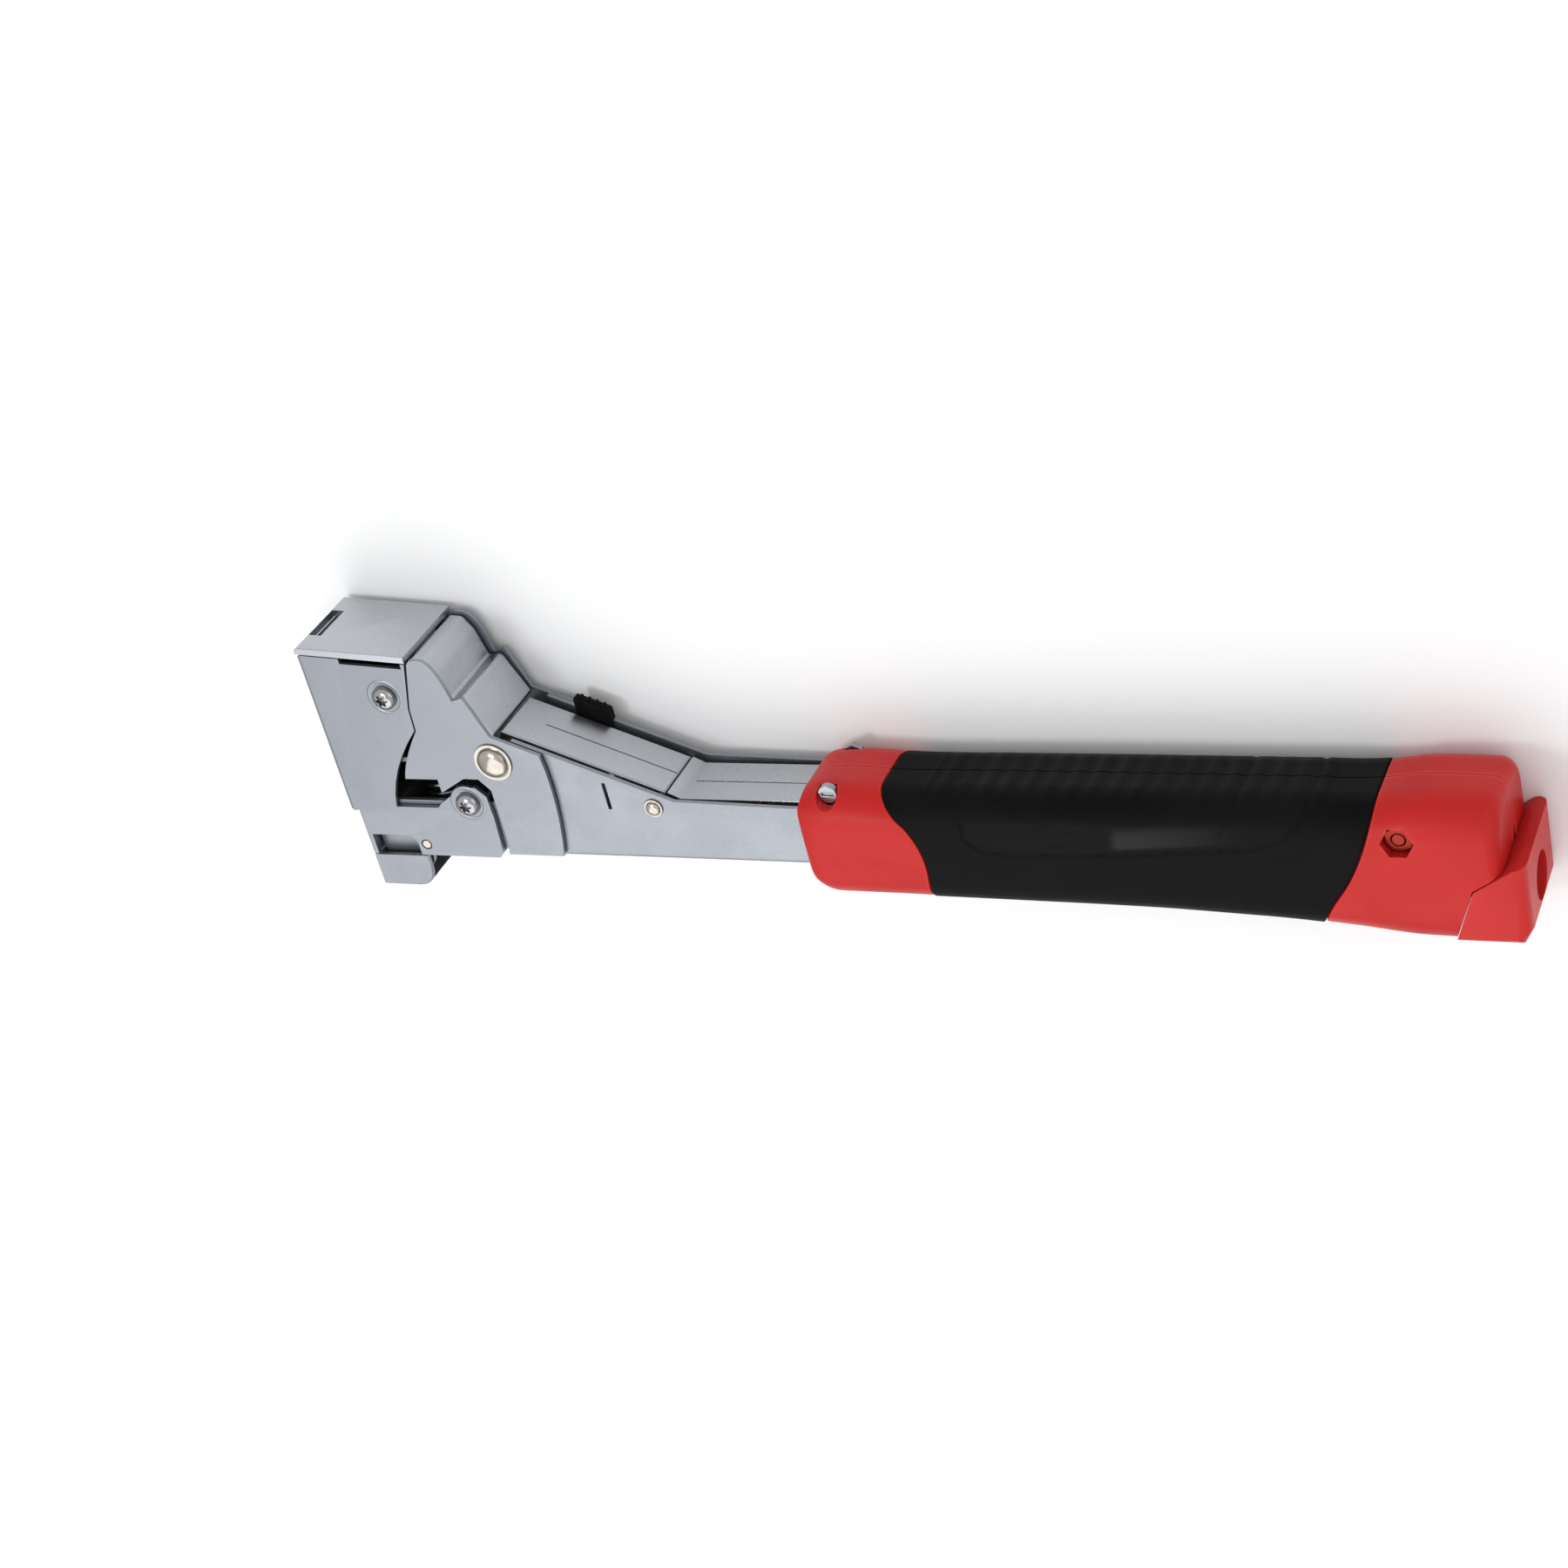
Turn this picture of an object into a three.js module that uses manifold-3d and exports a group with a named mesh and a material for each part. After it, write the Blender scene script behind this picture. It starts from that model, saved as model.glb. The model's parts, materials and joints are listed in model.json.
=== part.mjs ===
// Hammer tacker lying on its side: a sheet steel head with a sprung nose, on a moulded two-part grip.
//
// Tool frame (millimetres): x runs from the front of the nose to the rear of the grip, y points from the
// back of the tool towards its strike face, and z is across the width, with the middle plane at z = 0.
// The outer group turns nothing: it sets the tool down with its far side on the ground and its box centred.

import * as THREE from "three";
import { mergeVertices } from "three/addons/utils/BufferGeometryUtils.js";
import Module from "manifold-3d";

// Driving dimensions -----------------------------------------------------------------------------------

const headHeight = 61; // back line to the strike face, at the nose
const headLength = 41; // front of the nose to the rear of its foot
const neckFront = 48.5; // where the neck meets the head
const neckTopY = headHeight - 25.4; // height of the neck's upper edge at the head
const kinkX = 93.2; // where the neck meets the straight handle
const handleTopY = 17; // height of the handle channel's side plates
const gripFront = 125.5; // front of the grip collar
const gripLength = 169.5; // front of the collar to the rear of the end cap
const gripWall = 3.5; // from the handle channel's side plates to the grip's side faces
const strikeSlope = (4.9 * Math.PI) / 180; // the strike face falls towards the handle

const noseSheet = 1.2; // nose shell and cover plates
const channelSheet = 1.2; // handle channel
const innerSheet = 1; // neck channel and hood
const strikeSheet = 1.8; // hardened strike plate
const channelWidth = 16; // neck channel and handle core, outside
const plateGap = 1.8; // inner channel to the handle channel's side plates
const running = 0.3; // clearance of pieces that pass or meet each other
const boreGap = 0.3; // radial clearance of a pin in its hole
const farAway = 400; // further out than any piece reaches

const crossRivetRadius = 2.5; // shank
const crossRivetHead = 5.2;
const pivotRadius = 1.7;
const pivotHead = 2.5;
const starShank = 2;
const starHead = 3.2;
const spacerRadius = 2.85;
const latchPinRadius = 1.2;
const gripShank = 1.5; // grip screws
const gripHead = 2.4;
const gripHeadHeight = 1.8; // of the grip screws' heads and of their nuts
const headProud = 2; // what rivet heads, nuts and screw heads stand out of the side plates
const gripCorner = 9; // rounding of the grip's long edges
const softDepth = 2.2; // thickness of the soft cover in its recess
const coreCorner = 3.4; // rounding of the shells under the soft cover
const strokeRear = 5; // travel of the staple follower

// Derived widths, as distances from the middle plane ---------------------------------------------------

const channelHalf = channelWidth / 2;
const bodyInner = channelHalf + plateGap;
const bodyOuter = bodyInner + channelSheet;
const noseInner = bodyOuter + running;
const noseOuter = noseInner + noseSheet;
const gripHalf = bodyOuter + gripWall;
const gripRear = gripFront + gripLength;
const coreRear = gripRear - 55; // rear end of the steel inside the grip

// Places -----------------------------------------------------------------------------------------------

const neckDrop = (neckTopY - handleTopY) / (kinkX - neckFront);
const neckSlope = Math.atan(neckDrop);
const pivot = new THREE.Vector2(kinkX - 5.8, handleTopY - 1.8);
const crossRivet = new THREE.Vector2(neckFront - 1.2, neckTopY - 7.1);
const upperStar = new THREE.Vector2(22.3, headHeight - 11.25 - spacerRadius);
const lowerStar = new THREE.Vector2(headLength - 4.8, 16);
const latchPin = new THREE.Vector2(19.6, 3);
const frontScrew = new THREE.Vector2(gripFront + 8.4, handleTopY + 2.3);
const rearScrew = new THREE.Vector2(gripRear - 26.8, 13);
const springX = 23.6;

const neckEdgeY = (x) => neckTopY - (x - neckFront) * neckDrop;
const strikeY = (x) => headHeight - x * Math.tan(strikeSlope);

// Materials --------------------------------------------------------------------------------------------

const finish = (color, roughness, metalness) =>
  new THREE.MeshStandardMaterial({ color, roughness, metalness });
const zincSteel = () => finish(0xb4bcc4, 0.34, 1);
const darkSteel = () => finish(0x5a5f66, 0.45, 1);
const nickel = () => finish(0xc2bbae, 0.18, 1);
const springSteel = () => finish(0x8b9096, 0.3, 1);
const redPlastic = () => finish(0xc63a30, 0.45, 0);
const blackRubber = () => finish(0x1b1c1e, 0.62, 0);

// Solids -----------------------------------------------------------------------------------------------

const wasm = await Module();
wasm.setup();

function solidOf(geometry) {
  const plain = geometry.index ? geometry.toNonIndexed() : geometry.clone();
  plain.deleteAttribute("normal");
  plain.deleteAttribute("uv");
  const merged = mergeVertices(plain, 1e-4);
  return new wasm.Manifold(
    new wasm.Mesh({
      numProp: 3,
      vertProperties: new Float32Array(merged.attributes.position.array),
      triVerts: new Uint32Array(merged.index.array),
    }),
  );
}

function geometryOf(solid) {
  const mesh = solid.getMesh();
  const geometry = new THREE.BufferGeometry();
  geometry.setAttribute("position", new THREE.BufferAttribute(mesh.vertProperties, 3));
  geometry.setIndex(new THREE.BufferAttribute(mesh.triVerts, 1));
  return geometry;
}

function shapeOf(points) {
  return new THREE.Shape(points.map(([x, y]) => new THREE.Vector2(x, y)));
}

// A flat outline in the x-y plane, given thickness from z = low to z = high.
function plate(outline, low, high) {
  const shape = outline instanceof THREE.Shape ? outline : shapeOf(outline);
  const geometry = new THREE.ExtrudeGeometry(shape, {
    depth: high - low,
    bevelEnabled: false,
    curveSegments: 6,
  });
  return solidOf(geometry.translate(0, 0, low));
}

function box(x0, x1, y0, y1, z0, z1) {
  const geometry = new THREE.BoxGeometry(x1 - x0, y1 - y0, z1 - z0);
  return solidOf(geometry.translate((x0 + x1) / 2, (y0 + y1) / 2, (z0 + z1) / 2));
}

// A round bar along z.
function bar(centre, radius, low, high, sides = 24) {
  const geometry = new THREE.CylinderGeometry(radius, radius, high - low, sides);
  geometry.rotateX(Math.PI / 2).translate(centre.x, centre.y, (low + high) / 2);
  return solidOf(geometry);
}

// A turned piece along z, from [radius, z] pairs that run from the axis back to the axis.
function turned(centre, profile, sides = 28) {
  const points = profile.map(([radius, z]) => new THREE.Vector2(radius, z));
  const geometry = new THREE.LatheGeometry(points, sides);
  return solidOf(geometry.rotateX(Math.PI / 2).translate(centre.x, centre.y, 0));
}

function unite(solids) {
  return solids.reduce((whole, piece) => whole.add(piece));
}

const both = (make) => make(1).add(make(-1));
const span = (side, inner, outer) => (side > 0 ? [inner, outer] : [-outer, -inner]);

const tool = new THREE.Group();

function addPiece(name, solid, material, parent = tool) {
  const mesh = new THREE.Mesh(geometryOf(solid), material);
  mesh.name = name;
  parent.add(mesh);
}

// Head: nose shell -------------------------------------------------------------------------------------

const footStep = 2.6; // the nose's front edge steps in near the back
const footStepY = 13;
const slitTop = 30.9;
const slitLow = headHeight - 17.6;
const sliverTop = headHeight - 23.8; // a dark sliver opens from here down to the spring window
const between = (low, high, share) => low + (high - low) * share;
const springWindow = { left: 14.5, right: 26.9, low: 14.4, high: between(14.4, sliverTop, 0.368) };

function noseOutline() {
  const shape = new THREE.Shape();
  shape.moveTo(footStep, -0.3);
  shape.lineTo(headLength - 0.8, -0.3);
  shape.lineTo(headLength + 0.7, 1.4);
  shape.lineTo(headLength + 1.2, lowerStar.y - 4.5);
  shape.lineTo(headLength + 1, lowerStar.y + 2);
  shape.lineTo(lowerStar.x + 3.2, lowerStar.y + 4.7);
  shape.lineTo(lowerStar.x - 0.9, lowerStar.y + 4.4);
  shape.lineTo(springWindow.right + 1.2, springWindow.low + 1.3);
  shape.lineTo(springWindow.right, springWindow.low);
  shape.lineTo(springWindow.left, springWindow.low);
  const bendY = between(springWindow.low, sliverTop, 0.49);
  shape.quadraticCurveTo(springWindow.left + 2, bendY, slitTop - 3.4, sliverTop);
  shape.lineTo(slitTop - 3.1, slitLow);
  shape.lineTo(slitTop, strikeY(slitTop) - strikeSheet - running);
  shape.lineTo(0, strikeY(0) - strikeSheet - running);
  shape.lineTo(0, footStepY);
  shape.lineTo(footStep, footStepY);
  return shape;
}

function releaseArch(high) {
  const shape = new THREE.Shape();
  shape.moveTo(footStep + noseSheet + 0.4, -2);
  shape.lineTo(latchPin.x - 2.4, -2);
  shape.lineTo(latchPin.x - 2.4, high - 3);
  shape.quadraticCurveTo(latchPin.x - 2.6, high, latchPin.x - 5.5, high);
  shape.lineTo(footStep + noseSheet + 0.4, high);
  return shape;
}

function noseShell() {
  const whole = plate(noseOutline(), -noseOuter, noseOuter);
  const inside = box(noseSheet, farAway, latchPin.y + 3, headHeight, -noseInner, noseInner);
  const belowStep = box(
    footStep + noseSheet, farAway, noseSheet - 0.3, footStepY, -noseInner, noseInner,
  );
  const latchMouth = box(
    footStep + noseSheet, latchPin.x + 2.6, -2, footStepY, -noseInner, noseInner,
  );
  const recessFront = 12.3;
  const recessRear = slitTop - 1.2;
  const recessBase = (x) => strikeY(x) - strikeSheet - running - 1.4;
  const recess = [
    [recessFront, recessBase(recessFront)],
    [recessRear, recessBase(recessRear)],
    [recessRear, headHeight],
    [recessFront, headHeight],
  ];
  return whole
    .subtract(inside)
    .subtract(belowStep)
    .subtract(latchMouth)
    .subtract(plate(releaseArch(latchPin.y + 2.6), -farAway, farAway))
    .subtract(both((side) => plate(recess, ...span(side, noseInner - 1, farAway))))
    .subtract(bar(upperStar, starShank + boreGap, -farAway, farAway))
    .subtract(bar(lowerStar, starShank + boreGap, -farAway, farAway))
    .subtract(bar(latchPin, latchPinRadius + boreGap, -farAway, farAway, 16));
}

// Head: cover plates and hood --------------------------------------------------------------------------

const slitGap = 0.6;
const coverRear = neckFront + 12.3;
const coverBack = 0.8; // height of the covers' lower edge

function coverOutline() {
  const shape = new THREE.Shape();
  shape.moveTo(slitTop + slitGap, strikeY(slitTop) - strikeSheet - running);
  shape.lineTo(slitTop - 2.75, slitLow);
  shape.lineTo(slitTop - 3.05, sliverTop);
  const bendY = between(springWindow.high, sliverTop, 0.36);
  shape.quadraticCurveTo(springWindow.left + 6.6, bendY, springWindow.left + 5.4, springWindow.high);
  shape.lineTo(springWindow.right + 2.4, springWindow.high);
  shape.lineTo(springWindow.right + 2.4, springWindow.low + 4.4);
  shape.lineTo(lowerStar.x + 0.9, lowerStar.y + 7.2);
  shape.lineTo(lowerStar.x + 5, lowerStar.y + 7.1);
  shape.lineTo(headLength + 2.9, lowerStar.y + 3.9);
  shape.lineTo(headLength + 2.8, 3);
  shape.lineTo(headLength + 2.2, coverBack);
  shape.lineTo(coverRear - 1.8, coverBack);
  shape.quadraticCurveTo(coverRear + 1.7, lowerStar.y + 1, coverRear, neckEdgeY(coverRear));
  shape.lineTo(neckFront, neckTopY);
  shape.lineTo(neckFront - 4.4, neckTopY + 11.3);
  shape.lineTo(neckFront - 7.5, neckTopY + 10.3);
  shape.quadraticCurveTo(neckFront - 9.6, strikeY(slitTop) - 1.4, neckFront - 13.5, strikeY(slitTop) - 1);
  shape.lineTo(slitTop + 1.6, strikeY(slitTop) - 1);
  return shape;
}

function coverPlate(side) {
  const [low, high] = span(side, noseInner, noseOuter);
  return plate(coverOutline(), low, high)
    .subtract(bar(crossRivet, crossRivetRadius + boreGap, -farAway, farAway))
    .subtract(bar(upperStar, starHead + 1, -farAway, farAway));
}

function hood() {
  const inset = 0.5;
  const start = slitTop + 0.6;
  const outline = [
    [start, strikeY(slitTop) - 1 - inset],
    [neckFront - 13, strikeY(slitTop) - 1.3 - inset],
    [neckFront - 10.6, strikeY(slitTop) - 5.5],
    [neckFront - 8.6, neckTopY + 9.7],
    [neckFront - 5.1, neckTopY + 10.3],
    [neckFront + 0.2, neckTopY - 1],
    [neckFront - 0.8, neckTopY - 1.7],
    [neckFront - 5.7, neckTopY + 9],
    [neckFront - 9.3, neckTopY + 8.4],
    [neckFront - 11.7, strikeY(slitTop) - 6],
    [neckFront - 13.6, strikeY(slitTop) - 2.5 - inset],
    [start, strikeY(slitTop) - 2 - inset],
  ];
  return plate(outline, running - noseInner, noseInner - running);
}

// Head: staple feed and strike plate -------------------------------------------------------------------

const crownWidth = 10.6;
const wire = 0.75;
const legLength = 6;
const stripFront = 3.7;
const stripLength = 17.6;
const followerLength = 4;
const feedTop = strikeY(stripFront + stripLength + followerLength) - strikeSheet - 0.7;
const crownY = feedTop - legLength;
const followerFront = stripFront + stripLength + running;
const followerRear = followerFront + followerLength;

function strikePlate() {
  const end = slitTop + 0.2;
  const outline = [
    [0.2, strikeY(0.2) - strikeSheet],
    [end, strikeY(end) - strikeSheet],
    [end, strikeY(end)],
    [1, strikeY(1)],
    [0.2, strikeY(0.2) - 0.8],
  ];
  const mouth = box(noseSheet, stripFront + 0.9, 0, farAway, -6, 6);
  return plate(outline, -noseOuter, noseOuter).subtract(mouth);
}

// A staple shaped section, open towards the strike face.
function staples(x0, x1, halfWidth, wall, low, high) {
  return box(x0, x1, low, high, -halfWidth, halfWidth).subtract(
    box(x0 - 1, x1 + 1, low + wall, high + 1, wall - halfWidth, halfWidth - wall),
  );
}

const stapleStrip = () =>
  staples(stripFront, stripFront + stripLength, crownWidth / 2, wire, crownY, feedTop);
const follower = () =>
  staples(followerFront, followerRear, crownWidth / 2 + 0.6, 1.2, crownY - running, feedTop);
const stapleRail = () => {
  const half = crownWidth / 2 - wire - 0.45;
  const rear = followerRear + strokeRear + 0.6;
  const rail = box(stripFront + 0.6, rear, crownY + wire + 0.75, feedTop, -half, half);
  return rail.subtract(box(-1, farAway, crownY - 1, feedTop - 0.8, 1.2 - half, half - 1.2));
};

const bladeTop = crownY - 0.4;
const carrierTop = lowerStar.y - 1; // the handle channel's arms push the driver blade from here
const driverBlade = () =>
  box(
    noseSheet + running, stripFront - running,
    carrierTop + running, bladeTop,
    -crownWidth / 2, crownWidth / 2,
  );

// Head: springs, spacers, screws -----------------------------------------------------------------------

// A closed coil along the y axis of its own frame, made as a tube along a helix.
class Helix extends THREE.Curve {
  constructor(radius, height, turns) {
    super();
    Object.assign(this, { radius, height, turns });
  }

  getPoint(t, target = new THREE.Vector3()) {
    const angle = 2 * Math.PI * this.turns * t;
    return target.set(this.radius * Math.cos(angle), this.height * t, this.radius * Math.sin(angle));
  }
}

function coil(radius, wireRadius, height, turns, stepsPerTurn = 14, sides = 6) {
  const section = new THREE.Shape();
  for (let i = 0; i < sides; i++) {
    const angle = (2 * Math.PI * i) / sides;
    const x = wireRadius * Math.cos(angle);
    const y = wireRadius * Math.sin(angle);
    if (i === 0) section.moveTo(x, y);
    else section.lineTo(x, y);
  }
  return new THREE.ExtrudeGeometry(section, {
    extrudePath: new Helix(radius, height - 2 * wireRadius, turns),
    steps: Math.round(turns * stepsPerTurn),
    bevelEnabled: false,
  }).translate(0, wireRadius, 0);
}

const springBaseTop = 7.6;
const springTop = 27;
const springRadius = 4.9;
const springWire = 0.8;

function returnSpring() {
  const height = springTop - springBaseTop - 2 * running;
  const geometry = coil(springRadius, springWire, height, 6.5);
  return solidOf(geometry.translate(springX, springBaseTop + running, 0));
}

function followerSpring() {
  const length = strokeRear + 2.4;
  const geometry = coil(1.6, 0.35, length, 4, 10, 5);
  geometry.rotateZ(-Math.PI / 2);
  return solidOf(geometry.translate(followerRear + running, crownY + 2.7, 0));
}

function springBridge() {
  const half = noseInner - running;
  return box(springX - 8, springX + 8, springTop, springTop + 1.4, -half, half);
}

const feedWall = () => {
  const x = followerRear + strokeRear + 2.4 + 2 * running;
  const half = 3.1;
  return box(x, x + 1.2, crownY, crownY + 4, -half, half);
};

function starScrew(centre) {
  const top = noseOuter;
  const tip = -noseOuter - headProud + 0.2;
  const head = turned(centre, [
    [0, tip],
    [starShank, tip],
    [starShank, top + 0.1],
    [starHead, top + 0.1],
    [starHead, top + 0.8],
    [starHead - 0.9, top + headProud - 0.2],
    [0, top + headProud],
  ]);
  const points = [];
  for (let i = 0; i < 12; i++) {
    const radius = i % 2 ? 1.1 : 1.8;
    const angle = (Math.PI * i) / 6;
    points.push([centre.x + radius * Math.cos(angle), centre.y + radius * Math.sin(angle)]);
  }
  return head.subtract(plate(points, top + headProud - 1.3, top + headProud + 1));
}

function hexNut(centre, across, low, high, hole) {
  return bar(centre, across / Math.sqrt(3), low, high, 6).subtract(
    bar(centre, hole, low - 1, high + 1, 20),
  );
}

const starNut = (centre) =>
  hexNut(centre, 7, -noseOuter - headProud, -noseOuter - 0.1, starShank + 0.15);

function spacer(centre) {
  return bar(centre, spacerRadius, running - noseInner, noseInner - running, 20).subtract(
    bar(centre, starShank + boreGap, -farAway, farAway, 20),
  );
}

function domedRivet(centre, shank, head, outer, proud) {
  const half = [
    [shank, outer + 0.1],
    [head, outer + 0.1],
    [head, outer + 0.5],
    [head * 0.82, outer + proud * 0.72],
    [head * 0.45, outer + proud * 0.95],
    [0, outer + proud],
  ];
  const mirrored = half.map(([radius, z]) => [radius, -z]).reverse();
  return turned(centre, [...mirrored, ...half]);
}

function releaseLatch() {
  const half = bodyInner - 0.4;
  const tab = new THREE.Shape();
  tab.moveTo(footStep + 0.2, -0.6);
  tab.lineTo(footStep + 0.2, -10);
  tab.lineTo(latchPin.x - 6, -10);
  tab.quadraticCurveTo(latchPin.x - 1.4, -9.8, latchPin.x - 1, -4.5);
  tab.lineTo(latchPin.x - 1, -0.6);
  const tabFront = footStep + 0.2 + noseSheet;
  const tabInside = box(tabFront, farAway, -10 + noseSheet, farAway, -noseInner, noseInner);
  const shape = new THREE.Shape();
  shape.moveTo(footStep + 1.8, 3.4);
  shape.lineTo(footStep + 1.8, -3);
  shape.lineTo(footStep + 0.2, -4);
  shape.lineTo(footStep + 0.2, -9.6);
  shape.lineTo(latchPin.x - 6, -9.6);
  shape.lineTo(latchPin.x - 1.8, -4.4);
  shape.lineTo(latchPin.x - 1, -0.4);
  shape.lineTo(latchPin.x + 2.2, 1);
  shape.lineTo(latchPin.x + 2.2, 4.6);
  shape.lineTo(latchPin.x - 2.2, 4.6);
  shape.lineTo(latchPin.x - 4, 3.4);
  const cavity = box(footStep + 3, farAway, -8.6, farAway, 1.2 - half, half - 1.2);
  const floor = box(latchPin.x - 3, farAway, -farAway, farAway, 1.2 - half, half - 1.2);
  return plate(shape, -half, half)
    .add(plate(tab, -noseOuter, noseOuter).subtract(tabInside))
    .subtract(cavity)
    .subtract(floor)
    .subtract(bar(latchPin, latchPinRadius + boreGap, -farAway, farAway, 16));
}

const latchPinPiece = () => bar(latchPin, latchPinRadius, -noseOuter, noseOuter, 16);

// Neck and handle channels -----------------------------------------------------------------------------

const neckInset = 0.5; // the neck channel lies this far below the plates' upper edge

function neckChannel() {
  const rear = pivot.x + 2.6;
  const front = neckFront + 0.6;
  const top = (x) => neckEdgeY(x) - neckInset;
  const outline = [
    [front, top(front)],
    [front - 4.2, top(front) - 11.5],
    [rear - 3.6, top(rear) - 11.5],
    [rear, top(rear) - 2.4],
    [rear - 0.4, top(rear - 0.4)],
  ];
  const under = (x) => [x, top(x) - innerSheet];
  const inner = [under(front - 9), under(rear + 9), [rear + 9, -farAway], [front - 9, -farAway]];
  return plate(outline, -channelHalf, channelHalf)
    .subtract(plate(inner, innerSheet - channelHalf, channelHalf - innerSheet))
    .subtract(bar(crossRivet, crossRivetRadius + boreGap, -farAway, farAway))
    .subtract(bar(pivot, pivotRadius + boreGap, -farAway, farAway));
}

function handleOutline() {
  const armTop = lowerStar.y - 0.4;
  const shape = new THREE.Shape();
  shape.moveTo(coreRear, 0);
  shape.lineTo(coreRear, handleTopY - 1);
  shape.lineTo(kinkX + 30, handleTopY - 1);
  shape.lineTo(kinkX, handleTopY);
  shape.lineTo(neckFront + 4.5, neckEdgeY(neckFront + 4.5));
  shape.lineTo(neckFront + 4.5, armTop + 4);
  shape.lineTo(neckFront, armTop);
  shape.lineTo(4.6, armTop);
  shape.lineTo(4.6, 7);
  shape.lineTo(8, 5.4);
  shape.lineTo(headLength - 13, 5.4);
  shape.lineTo(headLength - 9, 1.6);
  shape.lineTo(headLength + 2, 1.6);
  shape.lineTo(headLength + 2.6, 0);
  return shape;
}

// The handle channel turns about the pivot against the nose, so its arms leave room for the lower screw.
function screwRoom() {
  const half = spacerRadius + 1.2;
  const outline = [
    [lowerStar.x - half, farAway],
    [lowerStar.x - half, lowerStar.y - 11],
    [lowerStar.x + half + 1.6, lowerStar.y - 11],
    [lowerStar.x + half + 1.6, farAway],
  ];
  return plate(outline, -farAway, farAway);
}

function handleChannel() {
  const inside = box(0, farAway, channelSheet, farAway, -bodyInner, bodyInner);
  const headOpening = box(0, headLength + 3, -1, farAway, -bodyInner, bodyInner);
  const slot = both((side) => {
    const [low, high] = span(side, bodyInner - 1, bodyOuter + 1);
    return box(kinkX - 18.4, kinkX - 17.4, handleTopY - 2.6, handleTopY + 5, low, high);
  });
  const room = screwRoom().intersect(box(0, headLength + 2.2, 0, farAway, -farAway, farAway));
  return plate(handleOutline(), -bodyOuter, bodyOuter)
    .subtract(inside)
    .subtract(headOpening)
    .subtract(slot)
    .subtract(room)
    .subtract(bar(pivot, pivotRadius + boreGap, -farAway, farAway));
}

function handleCore() {
  const top = handleTopY - 1;
  const front = pivot.x + 2.9;
  const outline = [
    [front, channelSheet + running],
    [coreRear - 1, channelSheet + running],
    [coreRear - 1, top],
    [kinkX + 0.4, top],
    [front, neckEdgeY(front) - neckInset],
  ];
  const seam = box(kinkX + 1, farAway, top - 0.6, farAway, -0.25, 0.25);
  return plate(outline, -channelHalf, channelHalf)
    .subtract(
      box(0, farAway, 0, top - channelSheet, channelSheet - channelHalf, channelHalf - channelSheet),
    )
    .subtract(seam);
}

function springBase() {
  return box(springX - 9, springX + 8, 5.8, springBaseTop, running - bodyInner, bodyInner - running);
}

function driverCarrier() {
  const front = footStep + noseSheet + 0.5;
  const halfWidth = bodyInner - running;
  const block = box(front, springX - 9.3, 7.2, carrierTop, -halfWidth, halfWidth);
  const finger = box(
    noseSheet + 0.8, front + 1, footStepY + 0.4, carrierTop, -crownWidth / 2, crownWidth / 2,
  );
  return block.add(finger);
}

// A small rubber buffer clipped over the far plate's edge, beside the neck channel.
function rubberBuffer() {
  const front = neckFront + 12.5;
  const rear = front + 9;
  const line = (offset) => [
    [front, neckEdgeY(front) + offset],
    [rear, neckEdgeY(rear) + offset],
  ];
  const band = (low, high) => [...line(low), ...line(high).reverse()];
  const shank = plate(band(-4, 1), running - bodyInner, -channelHalf - running);
  const head = plate(band(running, 4), -bodyOuter, -channelHalf - running);
  return shank.add(head);
}

// Grip -------------------------------------------------------------------------------------------------

const gripTop = handleTopY + 4.4;
const gripBack = -9.8;
const rearBack = -15.4;
const shellRear = gripRear - 4.6;
const shellDrop = 0.3; // the shells lie this far under the soft cover's surface

// The grip seen from the side, drawn in by draw on every side.
function gripOutline(draw) {
  const front = gripFront + draw;
  const rear = shellRear - draw;
  const top = gripTop - draw;
  const back = gripBack + draw;
  const heel = rearBack + draw;
  const shape = new THREE.Shape();
  shape.moveTo(front, back + 3);
  shape.quadraticCurveTo(front, back, front + 4, back);
  shape.lineTo(gripFront + 82, back - 0.8);
  shape.quadraticCurveTo(gripRear - 48, back - 2.4, gripRear - 24, heel);
  shape.lineTo(rear, heel);
  shape.lineTo(rear, top + 1);
  shape.lineTo(gripRear - 22, top + 1.4);
  shape.lineTo(gripRear - 34, top - 0.4);
  shape.lineTo(gripFront + 26, top - 0.8);
  shape.lineTo(gripFront + 15, top + 0.2);
  shape.lineTo(front + 2, top);
  shape.lineTo(front, top - 3);
  return shape;
}

// The grip's whole rounded body, drawn in by inset on every side.
function gripBody(inset, round = gripCorner, outlineOf = gripOutline) {
  const half = gripHalf - inset;
  const geometry = new THREE.ExtrudeGeometry(outlineOf(round + inset), {
    depth: 2 * (half - round),
    bevelEnabled: true,
    bevelThickness: round,
    bevelSize: round,
    bevelSegments: 4,
    curveSegments: 4,
  });
  return solidOf(geometry.translate(0, 0, round - half));
}

// The stretch of the grip under the soft cover, seen from the side, moved in by edge at both ends.
function softBand(edge) {
  const shape = new THREE.Shape();
  const front = gripFront + edge;
  const rear = gripRear - edge;
  shape.moveTo(front + 29.5, -40);
  shape.lineTo(front + 29.5, gripBack);
  shape.quadraticCurveTo(front + 34, 4, front + 28, 13);
  shape.quadraticCurveTo(front + 22, 18, front + 20, gripTop + 2);
  shape.lineTo(front + 20, 50);
  shape.lineTo(rear - 31, 50);
  shape.lineTo(rear - 31, gripTop + 1);
  shape.quadraticCurveTo(rear - 34.5, 9, rear - 41, 0);
  shape.quadraticCurveTo(rear - 46, -7, rear - 48, rearBack);
  shape.lineTo(rear - 48, -40);
  return plate(shape, -farAway, farAway);
}

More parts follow.
